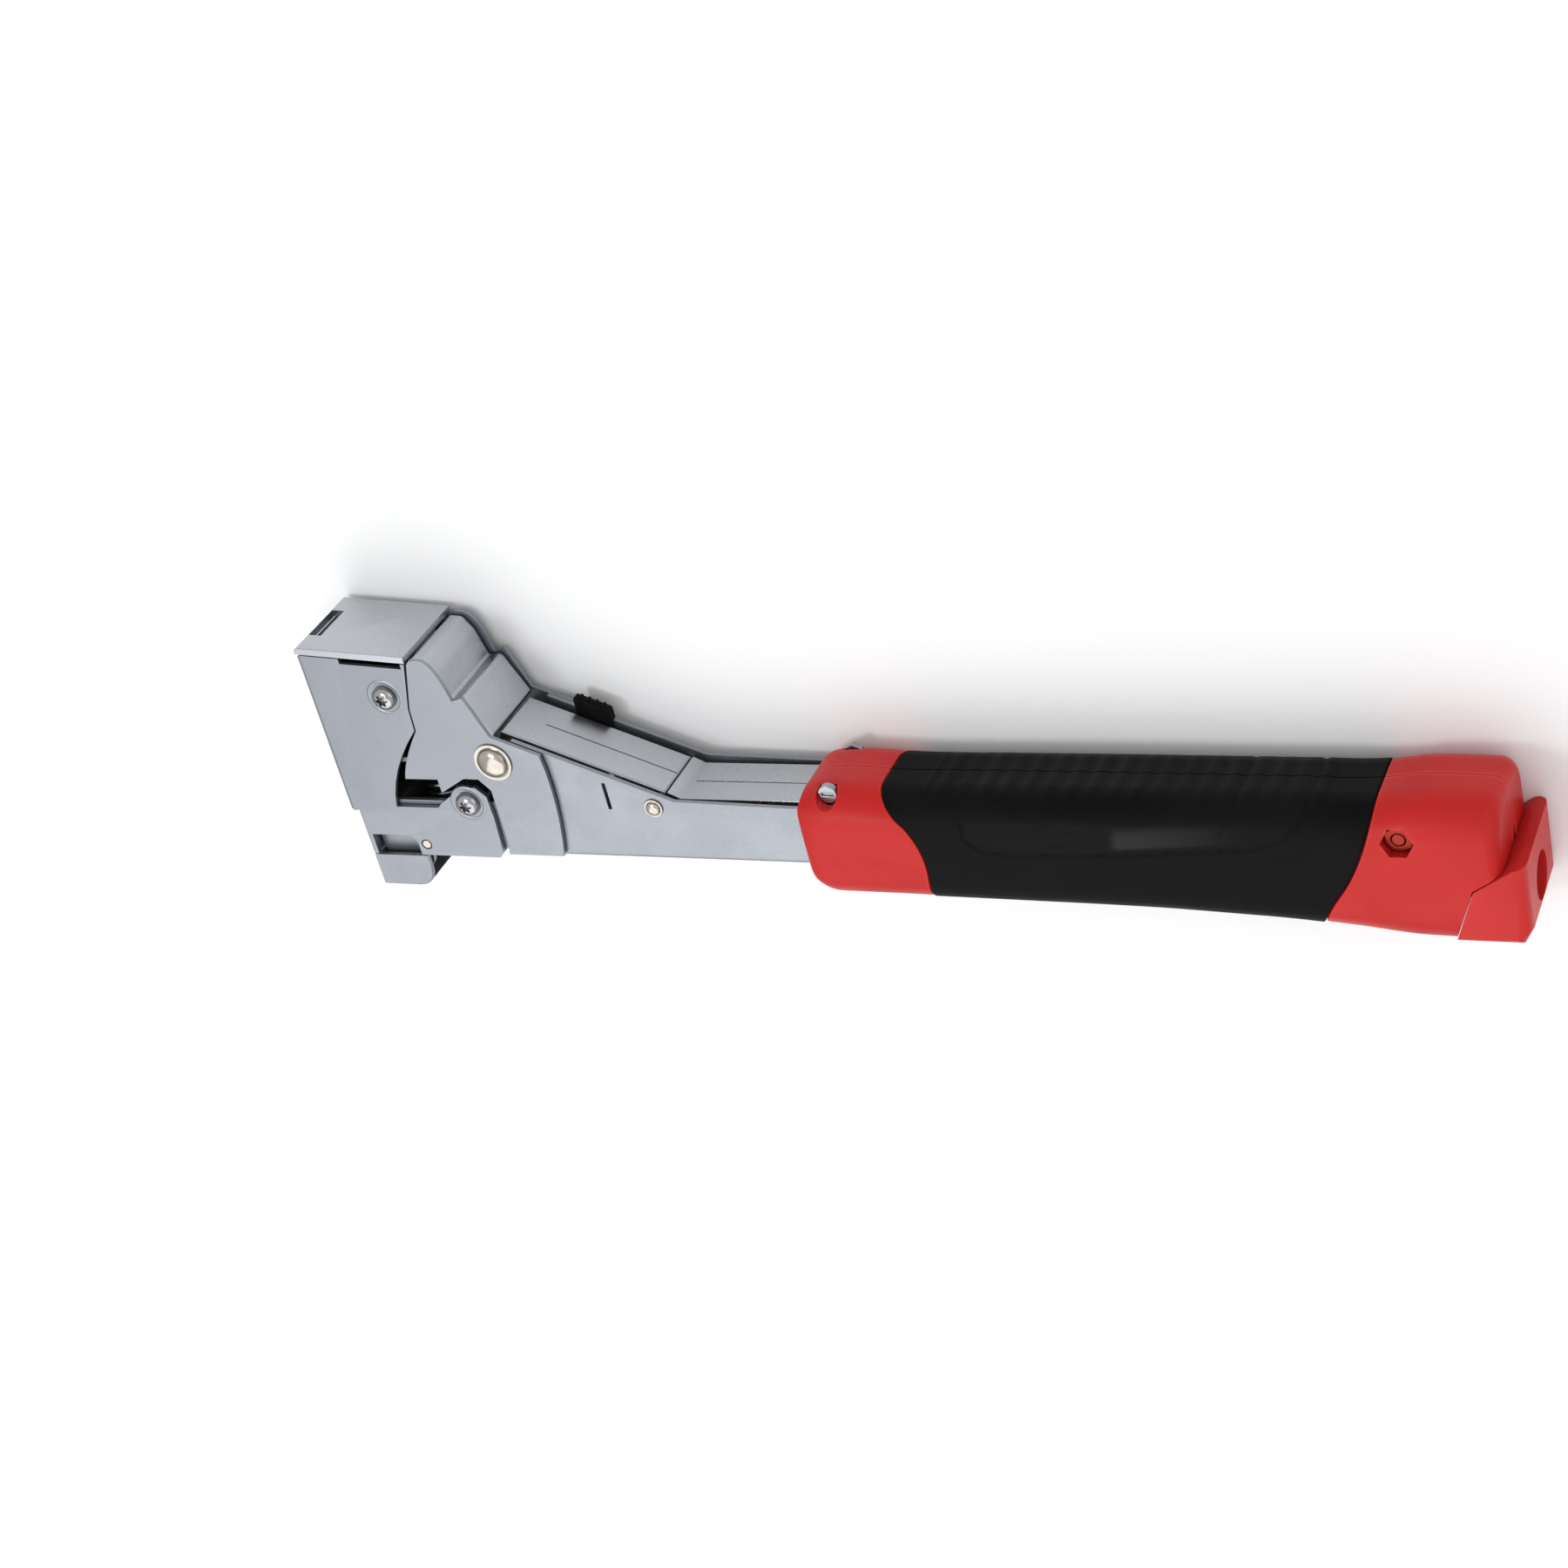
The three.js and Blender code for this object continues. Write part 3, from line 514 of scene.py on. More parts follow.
def rubber_finish(name, colour, pad=True):
    """Soft black cover: fine grain, dusty patches, rubbed marks, and a smoother moulded pad with a painted
    sheen that lightens it, most on one patch.
    """
    finish = Finish(name, colour, 0.0, 0.6)
    cloud = finish.noise(48, 4, distortion=0.7)
    grain = finish.noise(2600, 3)
    leather = finish.cells(1300)
    scuff = finish.noise(1, 3, finish.stretched((90, 1900, 500), (0.4, 0.2, 0.3)))
    # Paler black: dust on the dusty patches and rubbed marks, and also the painted sheen on the pad.
    dust_and_sheen = tuple(part * 1.6 + 0.0015 for part in colour)
    body = finish.blend(finish.spread(cloud, 0.35, 0.72), colour, dust_and_sheen)
    body = finish.blend(finish.spread(scuff, 0.68, 0.78, 0.0, 0.5), body, dust_and_sheen)
    matt = finish.spread(cloud, 0.3, 0.7, 0.50, 0.64)
    if pad:
        # Share of the pad, highest on the patch that gets the painted sheen.
        smooth = finish.layer("pad")
        # Painted sheen: the whole pad is lightened a little.
        body = finish.blend(finish.sum(smooth, 0.35, "MULTIPLY"), body, dust_and_sheen)
        # Painted sheen: a lighter grey on the patch of the pad.
        body = finish.blend(finish.spread(smooth, 0.47, 1.0, 0.0, 0.7), body, (0.030, 0.029, 0.028))
        matt = finish.sum(matt, finish.sum(smooth, 0.16, "MULTIPLY"), "SUBTRACT")
        grain = finish.sum(grain, finish.spread(smooth, 0, 1, 1.0, 0.35), "MULTIPLY")
    finish.colour(body)
    finish.roughness(matt)
    finish.bump(leather, 0.22, 0.07)
    finish.bump(grain, 0.30, 0.06)
    finish.shader.inputs["Specular IOR Level"].default_value = 0.07
    return finish.material


FINISHES = {}


def finishes(context):
    """The finishes, made once from the colours in the settings."""
    if not FINISHES:
        steel, grip = context.scene.tacker_steel, context.scene.tacker_grip
        zinc, bright = tuple(steel.zinc_colour), tuple(steel.bright_colour)
        FINISHES.update(
            zinc=sheet_finish("Zinc_plated_sheet", zinc, 0.34, 0.50, 0.075),
            bright=sheet_finish("Bright_rolled_channel", bright, 0.22, 0.36, 0.05, 1.0),
            dark=dark_finish("Blackened_steel", tuple(steel.dark_colour)),
            nickel=polished_finish("Nickel_plate", tuple(steel.nickel_colour), 0.10, 0.20),
            chrome=polished_finish("Chromed_screw", tuple(steel.chrome_colour), 0.06, 0.14),
            # A dark red for the rear grip screw and its nut.
            lacquer=polished_finish("Red_lacquered_nut", (0.30, 0.035, 0.028), 0.32, 0.46),
            spring=polished_finish("Spring_wire", tuple(steel.spring_colour), 0.22, 0.34),
            red=plastic_finish("Red_plastic", tuple(grip.red_colour), tuple(grip.red_shade)),
            cover=rubber_finish("Soft_black_cover", tuple(grip.black_colour)),
            # Plain black for the ribbed block beyond the neck.
            rubber=rubber_finish("Ribbed_block_black", tuple(grip.black_colour), False),
        )
    return FINISHES


# Settings -------------------------------------------------------------


def colour_setting(name, description, default):
    return FloatVectorProperty(
        name=name, description=description, default=default, subtype="COLOR", size=3, min=0, max=1
    )


def size_setting(name, description, default):
    return FloatProperty(
        name=name, description=description, default=default * MM, min=0, subtype="DISTANCE", unit="LENGTH"
    )


def power_setting(name, description, default):
    return FloatProperty(name=name, description=description, default=default, min=0, unit="POWER")


class TackerSteelSettings(bpy.types.PropertyGroup):
    """Sizes and colours of the steel pieces"""

    edge_break: size_setting("Edge break", "Width of the broken edge on cut sheet", 0.18)
    sheet_bend: size_setting("Sheet bend", "Outer radius of the folds in the thicker sheet", 1.5)
    channel_bend: size_setting("Channel bend", "Outer radius of the folds in the inner channels", 1.25)
    star_ring: size_setting("Star ring", "Radius of the ring pressed round each star screw", 4.5)
    zinc_colour: colour_setting("Zinc", "Colour of the plated plates", (0.275, 0.292, 0.322))
    bright_colour: colour_setting("Bright steel", "Colour of the bright channels", (0.44, 0.455, 0.48))
    dark_colour: colour_setting("Dark steel", "Colour of the steel inside the head", (0.10, 0.105, 0.115))
    nickel_colour: colour_setting("Nickel", "Colour of the rivets", (0.50, 0.46, 0.41))
    chrome_colour: colour_setting("Chrome", "Colour of the star screws", (0.42, 0.42, 0.43))
    spring_colour: colour_setting("Spring", "Colour of the spring wire", (0.36, 0.37, 0.39))


class TackerGripSettings(bpy.types.PropertyGroup):
    """Sizes and colours of the grip"""

    corner: size_setting("Corner", "Rounding of the grip's long edges", 9.0)
    crown: size_setting("Crown", "How far the side faces fall away at their edges", 0.75)
    cover_wall: size_setting("Cover wall", "Thickness of the soft cover", 1.6)
    groove: size_setting("Pad groove", "Depth of the groove round the pad", 0.32)
    rows: IntProperty(name="Rows", description="Rows of faces round a soft cover", default=118, min=24)
    columns: IntProperty(name="Columns", description="Faces along a soft cover", default=210, min=24)
    red_colour: colour_setting("Red", "Colour of the hard shells", (0.52, 0.015, 0.013))
    red_shade: colour_setting("Red shade", "Darker clouds in the red", (0.47, 0.014, 0.012))
    black_colour: colour_setting("Black", "Colour of the soft cover", (0.0026, 0.0026, 0.0028))


class TackerStageSettings(bpy.types.PropertyGroup):
    """Floor and light"""

    floor_colour: colour_setting("Floor", "Colour of the floor", (0.90, 0.905, 0.91))
    sky_strength: FloatProperty(name="Sky", description="Strength of the even light", default=0.86, min=0)
    key_power: power_setting("Key", "Power of the main light", 3.2)
    fill_power: power_setting("Fill", "Power of the side light", 1.0)


# Head: plates ---------------------------------------------------------

NECK_TOP = ((48.5, 35.6), (93.2, 17.0))


def neck_line(x, drop=0.0):
    """Height of the neck's upper edge at x, lowered by drop."""
    (x0, y0), (x1, y1) = NECK_TOP
    return y0 - (x - x0) * (y0 - y1) / (x1 - x0) - drop


def strike_line(x):
    """Height of the strike face at x."""
    return STRIKE_TOP - STRIKE_FALL * x


def pressed_ring(name, centre, radius, height, low, sides=72):
    """A low rounded ring pressed up out of a plate."""
    half = 0.55
    curve = ((1, 0), (0.8, 0.6), (0.35, 1), (-0.35, 1), (-0.8, 0.6), (-1, 0))
    profile = [[radius + half * out, low + height * up] for out, up in curve]
    return turned(name, centre, profile, sides)


class TACKER_OT_plates(bpy.types.Operator):
    """Make the head's plates: nose shell, covers, hood and strike plate"""

    bl_idname = "tacker.plates"
    bl_label = "Head plates"

    def execute(self, context):
        steel = context.scene.tacker_steel
        kinds = finishes(context)
        bend = steel.sheet_bend / MM
        edge = steel.edge_break / MM

        shell = clean_copy("nose_shell")
        fold(shell, lambda p: self.front_fold(p, 0) and p.y > STEP_Y - 1, bend, across=False)
        fold(shell, lambda p: self.front_fold(p, STEP_X) and p.y < STEP_Y, ARCH_BEND, across=False)
        rings = [
            pressed_ring("Ring", centre, steel.star_ring / MM, 0.28, NOSE_OUTER - 0.12)
            for centre in STAR_SCREWS.values()
        ]
        soften(shell, edge)
        for ring in rings:
            soften(ring, 0)
        shell = join([shell, *rings], "Nose_shell")
        finish_piece(shell, kinds["zinc"], "zinc_steel", "nose_shell")

        for side in ("near", "far"):
            finished_copy(side + "_cover_plate", kinds["zinc"], "zinc_steel", edge)

        hood = clean_copy("hood")
        fold(hood, self.hood_fold, steel.channel_bend / MM)
        soften(hood, edge)
        finish_piece(hood, kinds["bright"], "zinc_steel", "hood")

        strike = clean_copy("strike_plate")
        fold(strike, lambda p: self.at_side(p) and p.y > strike_line(p.x) - 0.9, 0.45, 3)
        fold(strike, lambda p: near(p.x, 0.2) or near(p.x, 1), 0.35, 3)
        soften(strike, edge)
        finish_piece(strike, kinds["bright"], "zinc_steel", "strike_plate")
        return {"FINISHED"}

    @staticmethod
    def at_side(point):
        return near(abs(point.z), NOSE_OUTER)

    def front_fold(self, point, x):
        """True where the nose's front face, which stands at x, meets its sides."""
        return near(point.x, x) and self.at_side(point)

    @staticmethod
    def hood_fold(point):
        """True on the hood's outer line, where its top meets its sides."""
        line = ((31.5, 56.8), (35.5, 56.6), (37.9, 52.9), (39.9, 45.3), (43.4, 45.9), (48.7, 34.6))
        on_line = any(abs(point.x - x) < 0.4 and abs(point.y - y) < 0.5 for x, y in line)
        return on_line and near(abs(point.z), HOOD_OUTER, SLOPE_GAP)


class TACKER_OT_channels(bpy.types.Operator):
    """Make the handle channel, the core inside it and the neck channel"""

    bl_idname = "tacker.channels"
    bl_label = "Channels"

    def execute(self, context):
        steel = context.scene.tacker_steel
        kinds = finishes(context)
        bend = steel.sheet_bend / MM
        edge = steel.edge_break / MM

        handle = clean_copy("handle_channel")
        fold(handle, lambda p: near(p.y, 0) and near(abs(p.z), HANDLE_OUTER) and p.x > 43, bend, 5)
        soften(handle, edge)
        finish_piece(handle, kinds["zinc"], "zinc_steel", "handle_channel")

        finished_copy("handle_core", kinds["bright"], "zinc_steel", edge)

        neck = clean_copy("neck_channel")
        fold(neck, self.neck_fold, NECK_BEND, across=False)
        seam = [(x, neck_line(x, drop)) for x, drop in ((57, 0.1), (91, 0.1), (91, 0.9), (57, 0.9))]
        cut(neck, prism("Seam", seam, -0.2, 0.2))
        soften(neck, edge)
        finish_piece(neck, kinds["bright"], "zinc_steel", "neck_channel")
        return {"FINISHED"}

    @staticmethod
    def neck_fold(point):
        """True where the neck's top meets its sides."""
        on_top = near(point.y, neck_line(point.x, NECK_DROP), SLOPE_GAP)
        return on_top and near(abs(point.z), NECK_OUTER)


class TACKER_OT_inner_steel(bpy.types.Operator):
    """Make the plain steel pieces inside the head: spring seats, driver, rail, follower and pins"""

    bl_idname = "tacker.inner_steel"
    bl_label = "Inner steel"

    nodes = (
        "spring_base", "driver_carrier", "spring_bridge", "staple_rail", "feed_wall", "follower",
        "driver_blade", "latch_pin", "upper_spacer", "lower_spacer",
    )

    def execute(self, context):
        kinds = finishes(context)
        edge = context.scene.tacker_steel.edge_break / MM
        for node in self.nodes:
            kind, slot = ("nickel", "nickel") if node == "latch_pin" else ("dark", "dark_steel")
            finished_copy(node, kinds[kind], slot, edge)
        return {"FINISHED"}


class TACKER_OT_latch(bpy.types.Operator):
    """Make the release latch at the back of the head"""

    bl_idname = "tacker.latch"
    bl_label = "Release latch"

    def execute(self, context):
        kinds = finishes(context)
        latch = clean_copy("release_latch")
        fold(latch, lambda p: near(abs(p.z), NOSE_OUTER) and p.y < -1 and (p.y < -9 or p.x > 12), 1.0)
        soften(latch, context.scene.tacker_steel.edge_break / MM)
        finish_piece(latch, kinds["zinc"], "zinc_steel", "release_latch")
        return {"FINISHED"}


# Head: rivets, screws, springs, staples -------------------------------


class TACKER_OT_rivets(bpy.types.Operator):
    """Turn the cross rivet and the pivot rivet"""

    bl_idname = "tacker.rivets"
    bl_label = "Rivets"

    def execute(self, context):
        kinds = finishes(context)
        cross = self.rivet("Cross_rivet", CROSS_RIVET, 2.5, 5.2, NOSE_OUTER + HEAD_GAP, 1.9)
        finish_piece(cross, kinds["nickel"], "nickel", "cross_rivet")
        pivot = self.rivet("Pivot_rivet", PIVOT, 1.7, 2.5, HANDLE_OUTER + HEAD_GAP, 1.2)
        finish_piece(pivot, kinds["nickel"], "nickel", "pivot_rivet")
        return {"FINISHED"}

    @staticmethod
    def rivet(name, centre, shank, head, base, height):
        """A rivet with a flanged rim round a domed head on both sides."""
        rim = head * 0.17
        profile = [[shank, base], [head - 0.15, base], [head, base + 0.14], [head - 0.1, base + 0.32],
                   [head - rim, base + 0.38], [head - rim - 0.12, base + 0.34]]
        inner = head - rim - 0.25
        profile += dome(inner, base + 0.1, height - 0.1, 8, 0.45)
        tail = [[radius, -rise] for radius, rise in profile]
        rivet = turned(name, centre, profile, 72, tail)
        soften(rivet, 0, angle=50)
        return rivet


class TACKER_OT_star_screws(bpy.types.Operator):
    """Turn the two star screws and finish their nuts"""

    bl_idname = "tacker.star_screws"
    bl_label = "Star screws"

    head = (
        (2.0, 0), (3.05, 0), (3.2, 0.15), (3.2, 0.65), (3.05, 0.95), (2.7, 1.35), (2.2, 1.66), (1.4, 1.84),
        (0.5, 1.9),
    )
    star_floor = 0.55

    def execute(self, context):
        kinds = finishes(context)
        for place, centre in STAR_SCREWS.items():
            base = NOSE_OUTER + HEAD_GAP
            profile = [[radius, base + rise] for radius, rise in self.head]
            tail = [[2.0, -14.0], [1.85, -14.25], [0.5, -14.3]]
            screw = turned(place.title() + "_star_screw", centre, profile, 64, tail)
            lobes = ring_outline(centre, lambda a: 1.42 + 0.36 * math.cos(6 * a), 60)
            cut(screw, prism("Star", lobes, base + self.star_floor, base + 3))
            soften(screw, 0.07, 2, 50)
            finish_piece(screw, kinds["chrome"], "nickel", place + "_star_screw")

            finished_copy(place + "_star_nut", kinds["nickel"], "nickel", 0.3, 2, 40)
        return {"FINISHED"}


class TACKER_OT_springs(bpy.types.Operator):
    """Wind the return spring and the follower spring"""

    bl_idname = "tacker.springs"
    bl_label = "Springs"

    def execute(self, context):
        kinds = finishes(context)
        spring = self.wound("Return_spring", "return_spring", 4.9, 0.8, 6.5, along_x=False)
        finish_piece(spring, kinds["spring"], "spring_steel", "return_spring")
        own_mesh(spring)
        feed = self.wound("Follower_spring", "follower_spring", 1.6, 0.35, 4, along_x=True)
        finish_piece(feed, kinds["spring"], "spring_steel", "follower_spring")
        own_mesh(feed)
        return {"FINISHED"}

    @staticmethod
    def wound(name, node, radius, wire, turns, along_x):
        """A coil that fills the node's box, along x or along y."""
        low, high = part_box(node)
        middle = (low + high) / 2
        length = (high.x - low.x if along_x else high.y - low.y) - 2 * wire * MM
        deselect()
        bpy.ops.mesh.primitive_circle_add(
            vertices=14, radius=wire * MM, location=(radius * MM, 0, 0), rotation=(math.pi / 2, 0, 0)
        )
        coil = settle(added(name))
        apply_modifier(
            coil, "SCREW", axis="Z", angle=2 * math.pi * turns, screw_offset=length, steps=int(turns * 36),
            render_steps=int(turns * 36), use_merge_vertices=False, use_smooth_shade=True,
        )
        start(coil, "EDGE")
        bpy.ops.mesh.select_non_manifold()
        bpy.ops.mesh.fill_holes(sides=14)
        close()
        on_all_faces(coil, bpy.ops.mesh.normals_make_consistent, inside=False)
        if along_x:
            coil.rotation_euler = (0, math.pi / 2, 0)
            coil.location = (low.x + wire * MM, middle.y, middle.z)
        else:
            coil.rotation_euler = (-math.pi / 2, 0, 0)
            coil.location = (at(SPRING_X, 0).x, low.y + wire * MM, at(0, 0).z)
        settle(coil)
        activate(coil)
        bpy.ops.object.shade_smooth_by_angle(angle=math.radians(50))
        return coil


class TACKER_OT_staples(bpy.types.Operator):
    """Make the stick of staples"""

    bl_idname = "tacker.staples"
    bl_label = "Staples"

    def execute(self, context):
        low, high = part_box("staple_strip")
        count = 14
        pitch = (high.x - low.x) / count
        wire = 0.75 * MM
        tall, wide, middle = high.y - low.y, high.z - low.z, (low.y + high.y) / 2
        staple = self.block("Staple_strip", (low.x + pitch / 2, middle, MID_Z), (pitch * 0.97, tall, wide))
        cut(staple, self.block("Gap", (low.x, middle + wire, MID_Z), (pitch * 4, tall, wide - 2 * wire)))
        soften(staple, 0.16, 2)
        apply_modifier(
            staple, "ARRAY", count=count, use_relative_offset=False, use_constant_offset=True,
            constant_offset_displace=(pitch, 0, 0),
        )
        finish_piece(staple, finishes(context)["nickel"], "nickel", "staple_strip")
        return {"FINISHED"}

    @staticmethod
    def block(name, centre, size):
        deselect()
        bpy.ops.mesh.primitive_cube_add(size=1, location=centre)
        piece = added(name)
        piece.dimensions = size
        return settle(piece)


class TACKER_OT_buffer(bpy.types.Operator):
    """Make the ribbed black block beside the neck"""

    bl_idname = "tacker.buffer"
    bl_label = "Ribbed black block"

    def execute(self, context):
        # A black block with ribs, beyond the neck on the far side.
        buffer = clean_copy("rubber_buffer")
        fold(buffer, lambda p: p.y > neck_line(p.x, -3.8), 0.9, 3)
        soften(buffer, 0.25)
        first = (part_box("rubber_buffer")[0].x - NOSE_X) / MM + 1.7
        pitch, half, top, foot = 1.9, 0.35, -4.25, -0.8
        ribs = []
        for x in (first + step * pitch for step in range(4)):
            corners = ((x - half, foot), (x + half, foot), (x + half, top), (x - half, top))
            outline = [(corner, neck_line(x, drop)) for corner, drop in corners]
            ribs.append(prism("Rib", outline, -10.7, -8.6))
        for rib in ribs:
            soften(rib, 0.2)
        buffer = join([buffer, *ribs], "Rubber_buffer")
        finish_piece(buffer, finishes(context)["rubber"], "black_rubber", "rubber_buffer")
        return {"FINISHED"}


# Grip -----------------------------------------------------------------

TOP_LINE = (
    (125.5, 21.4), (140.5, 21.5), (151.5, 20.65), (200, 20.75), (250, 20.85), (261, 21.05), (267, 21.9),
    (273, 22.7), (290.4, 22.4),
)
BACK_LINE = (
    (125.5, -9.8), (150, -9.95), (207.5, -10.6), (227, -11.4), (243, -12.3), (257, -13.7), (271, -15.35),
    (295, -15.4),
)
PAD_LINE = (
    (168.0, 15.0), (168.6, 10.7), (172.8, 7.6), (180, 7.2), (203, 7.9), (220, 9.3), (236, 10.8),
    (243.7, 13.4), (247, 17.6), (249, 20.5),
)
CREASES = (
    ((169.5, 11.2), (171, 9.9), (173.2, 10.3), (174.6, 11.8)),
    ((189.5, 10.6), (191.4, 10.0), (193.4, 11.4), (195.2, 12.0)),
    ((229, 13.0), (231.5, 17.5), (233, 21.0)),
)

# The room for the end cap: x from the grip's rear end, and y
CAP_ROOM = ((-18.85, -40), (-17.85, -15.4), (-11.85, 1.4), (-3, 7.3), (20, 12), (20, -40))
BEYOND = 30  # further from the middle plane than any piece reaches


def curve_through(x, points):
    """A smooth line through points, read at x."""
    if x <= points[0][0]:
        return points[0][1]
    if x >= points[-1][0]:
        return points[-1][1]
    index = next(i for i in range(len(points) - 1) if points[i + 1][0] >= x)
    (x0, y0), (x1, y1) = points[index], points[index + 1]
    before = points[max(index - 1, 0)]
    after = points[min(index + 2, len(points) - 1)]
    slope0 = (y1 - before[1]) / (x1 - before[0])
    slope1 = (after[1] - y0) / (after[0] - x0)
    t, run = (x - x0) / (x1 - x0), x1 - x0
    return (
        (2 * t ** 3 - 3 * t ** 2 + 1) * y0 + (t ** 3 - 2 * t ** 2 + t) * slope0 * run
        + (3 * t ** 2 - 2 * t ** 3) * y1 + (t ** 3 - t ** 2) * slope1 * run
    )


def bend_through(begin, pull, end, steps=14):
    """Points along a bend from begin to end, drawn towards pull."""
    points = []
    for step in range(steps + 1):
        t = step / steps
        points.append(tuple(
            (1 - t) ** 2 * a + 2 * t * (1 - t) * b + t ** 2 * c for a, b, c in zip(begin, pull, end)
        ))
    return points


# Where the soft cover starts and ends, as (height, x) pairs that climb
FRONT_EDGE = (
    [(-40, 155.0)] + bend_through((-9.8, 155.0), (4, 159.5), (13, 153.5))
    + bend_through((13, 153.5), (18, 147.5), (23.4, 145.5))[1:] + [(50, 145.5)]
)
REAR_EDGE = (
    [(-40, 247.0)] + bend_through((-15.4, 247), (-7, 249), (0, 254))
    + bend_through((0, 254), (9, 260.5), (22.4, 264))[1:] + [(50, 264.0)]
)


def straight_between(value, points):
    """The line through points, read at value."""
    for (a0, b0), (a1, b1) in zip(points, points[1:]):
        if value <= a1:
            return b0 + (b1 - b0) * max(0.0, value - a0) / max(a1 - a0, 1e-9)
    return points[-1][1]


def round_box(share, low, high, half, corner):
    """Point (y, z) on the near half of a rounded box, share of the way from its back to its top."""
    flat, side, arc = half - corner, high - low - 2 * corner, math.pi / 2 * corner
    length = share * (2 * flat + 2 * arc + side)
    if length < flat:
        return low, length
    if length < flat + arc:
        angle = (length - flat) / corner
        return low + corner * (1 - math.cos(angle)), flat + corner * math.sin(angle)
    if length < flat + arc + side:
        return low + corner + length - flat - arc, half
    if length < flat + 2 * arc + side:
        angle = (length - flat - arc - side) / corner
        return high - corner * (1 - math.sin(angle)), flat + corner * math.cos(angle)
    return high, flat - (length - flat - 2 * arc - side)


def section(x, share, drop, grip):
    """Point (y, z) on the near half of the grip's section at x, share of the way round from its back.

    The section is a rounded box whose side face is slightly crowned, drawn in by drop all round.
    """
    corner = max(grip.corner / MM - drop, 0.4)
    low, high = curve_through(x, BACK_LINE) + drop, curve_through(x, TOP_LINE) - drop
    half = GRIP_HALF - drop
    y, z = round_box(share, low, high, half, corner)
    middle, reach = (low + high) / 2, (high - low) / 2
    z -= grip.crown / MM * min(1.0, z / half) * ((y - middle) / reach) ** 2
    return y, max(z, SEAM_HALF)


def lofted(name, rows, columns, point):
    """A grid whose vertices are placed by point(column share, row share)."""
    deselect()
    bpy.ops.mesh.primitive_grid_add(x_subdivisions=columns, y_subdivisions=rows, size=1)
    piece = settle(added(name))
    coordinates = []
    for vertex in piece.data.vertices:
        coordinates.extend(point(round((vertex.co.x + 0.5) * columns), vertex.co.y + 0.5))
    piece.data.vertices.foreach_set("co", coordinates)
    piece.data.update()
    return piece


def turn_out(piece):
    """Turns the faces of an open near-side skin to face away from the middle plane."""
    total = sum(face.normal.z * face.area for face in piece.data.polygons)
    if total < 0:
        on_all_faces(piece, bpy.ops.mesh.flip_normals)


def mirrored(piece, name):
    """A copy of a near-side piece for the far side."""
    twin = piece.copy()
    twin.data = piece.data.copy()
    twin.name = name
    bpy.context.scene.collection.objects.link(twin)
    for vertex in twin.data.vertices:
        vertex.co.z = 2 * MID_Z - vertex.co.z
    on_all_faces(twin, bpy.ops.mesh.flip_normals)
    return twin


def gap_to(point, line):
    """Distance from a point to a bent line."""
    best = 1e9
    for (x0, y0), (x1, y1) in zip(line, line[1:]):
        dx, dy = x1 - x0, y1 - y0
        t = max(0.0, min(1.0, ((point[0] - x0) * dx + (point[1] - y0) * dy) / (dx * dx + dy * dy)))
        best = min(best, math.hypot(point[0] - x0 - t * dx, point[1] - y0 - t * dy))
    return best


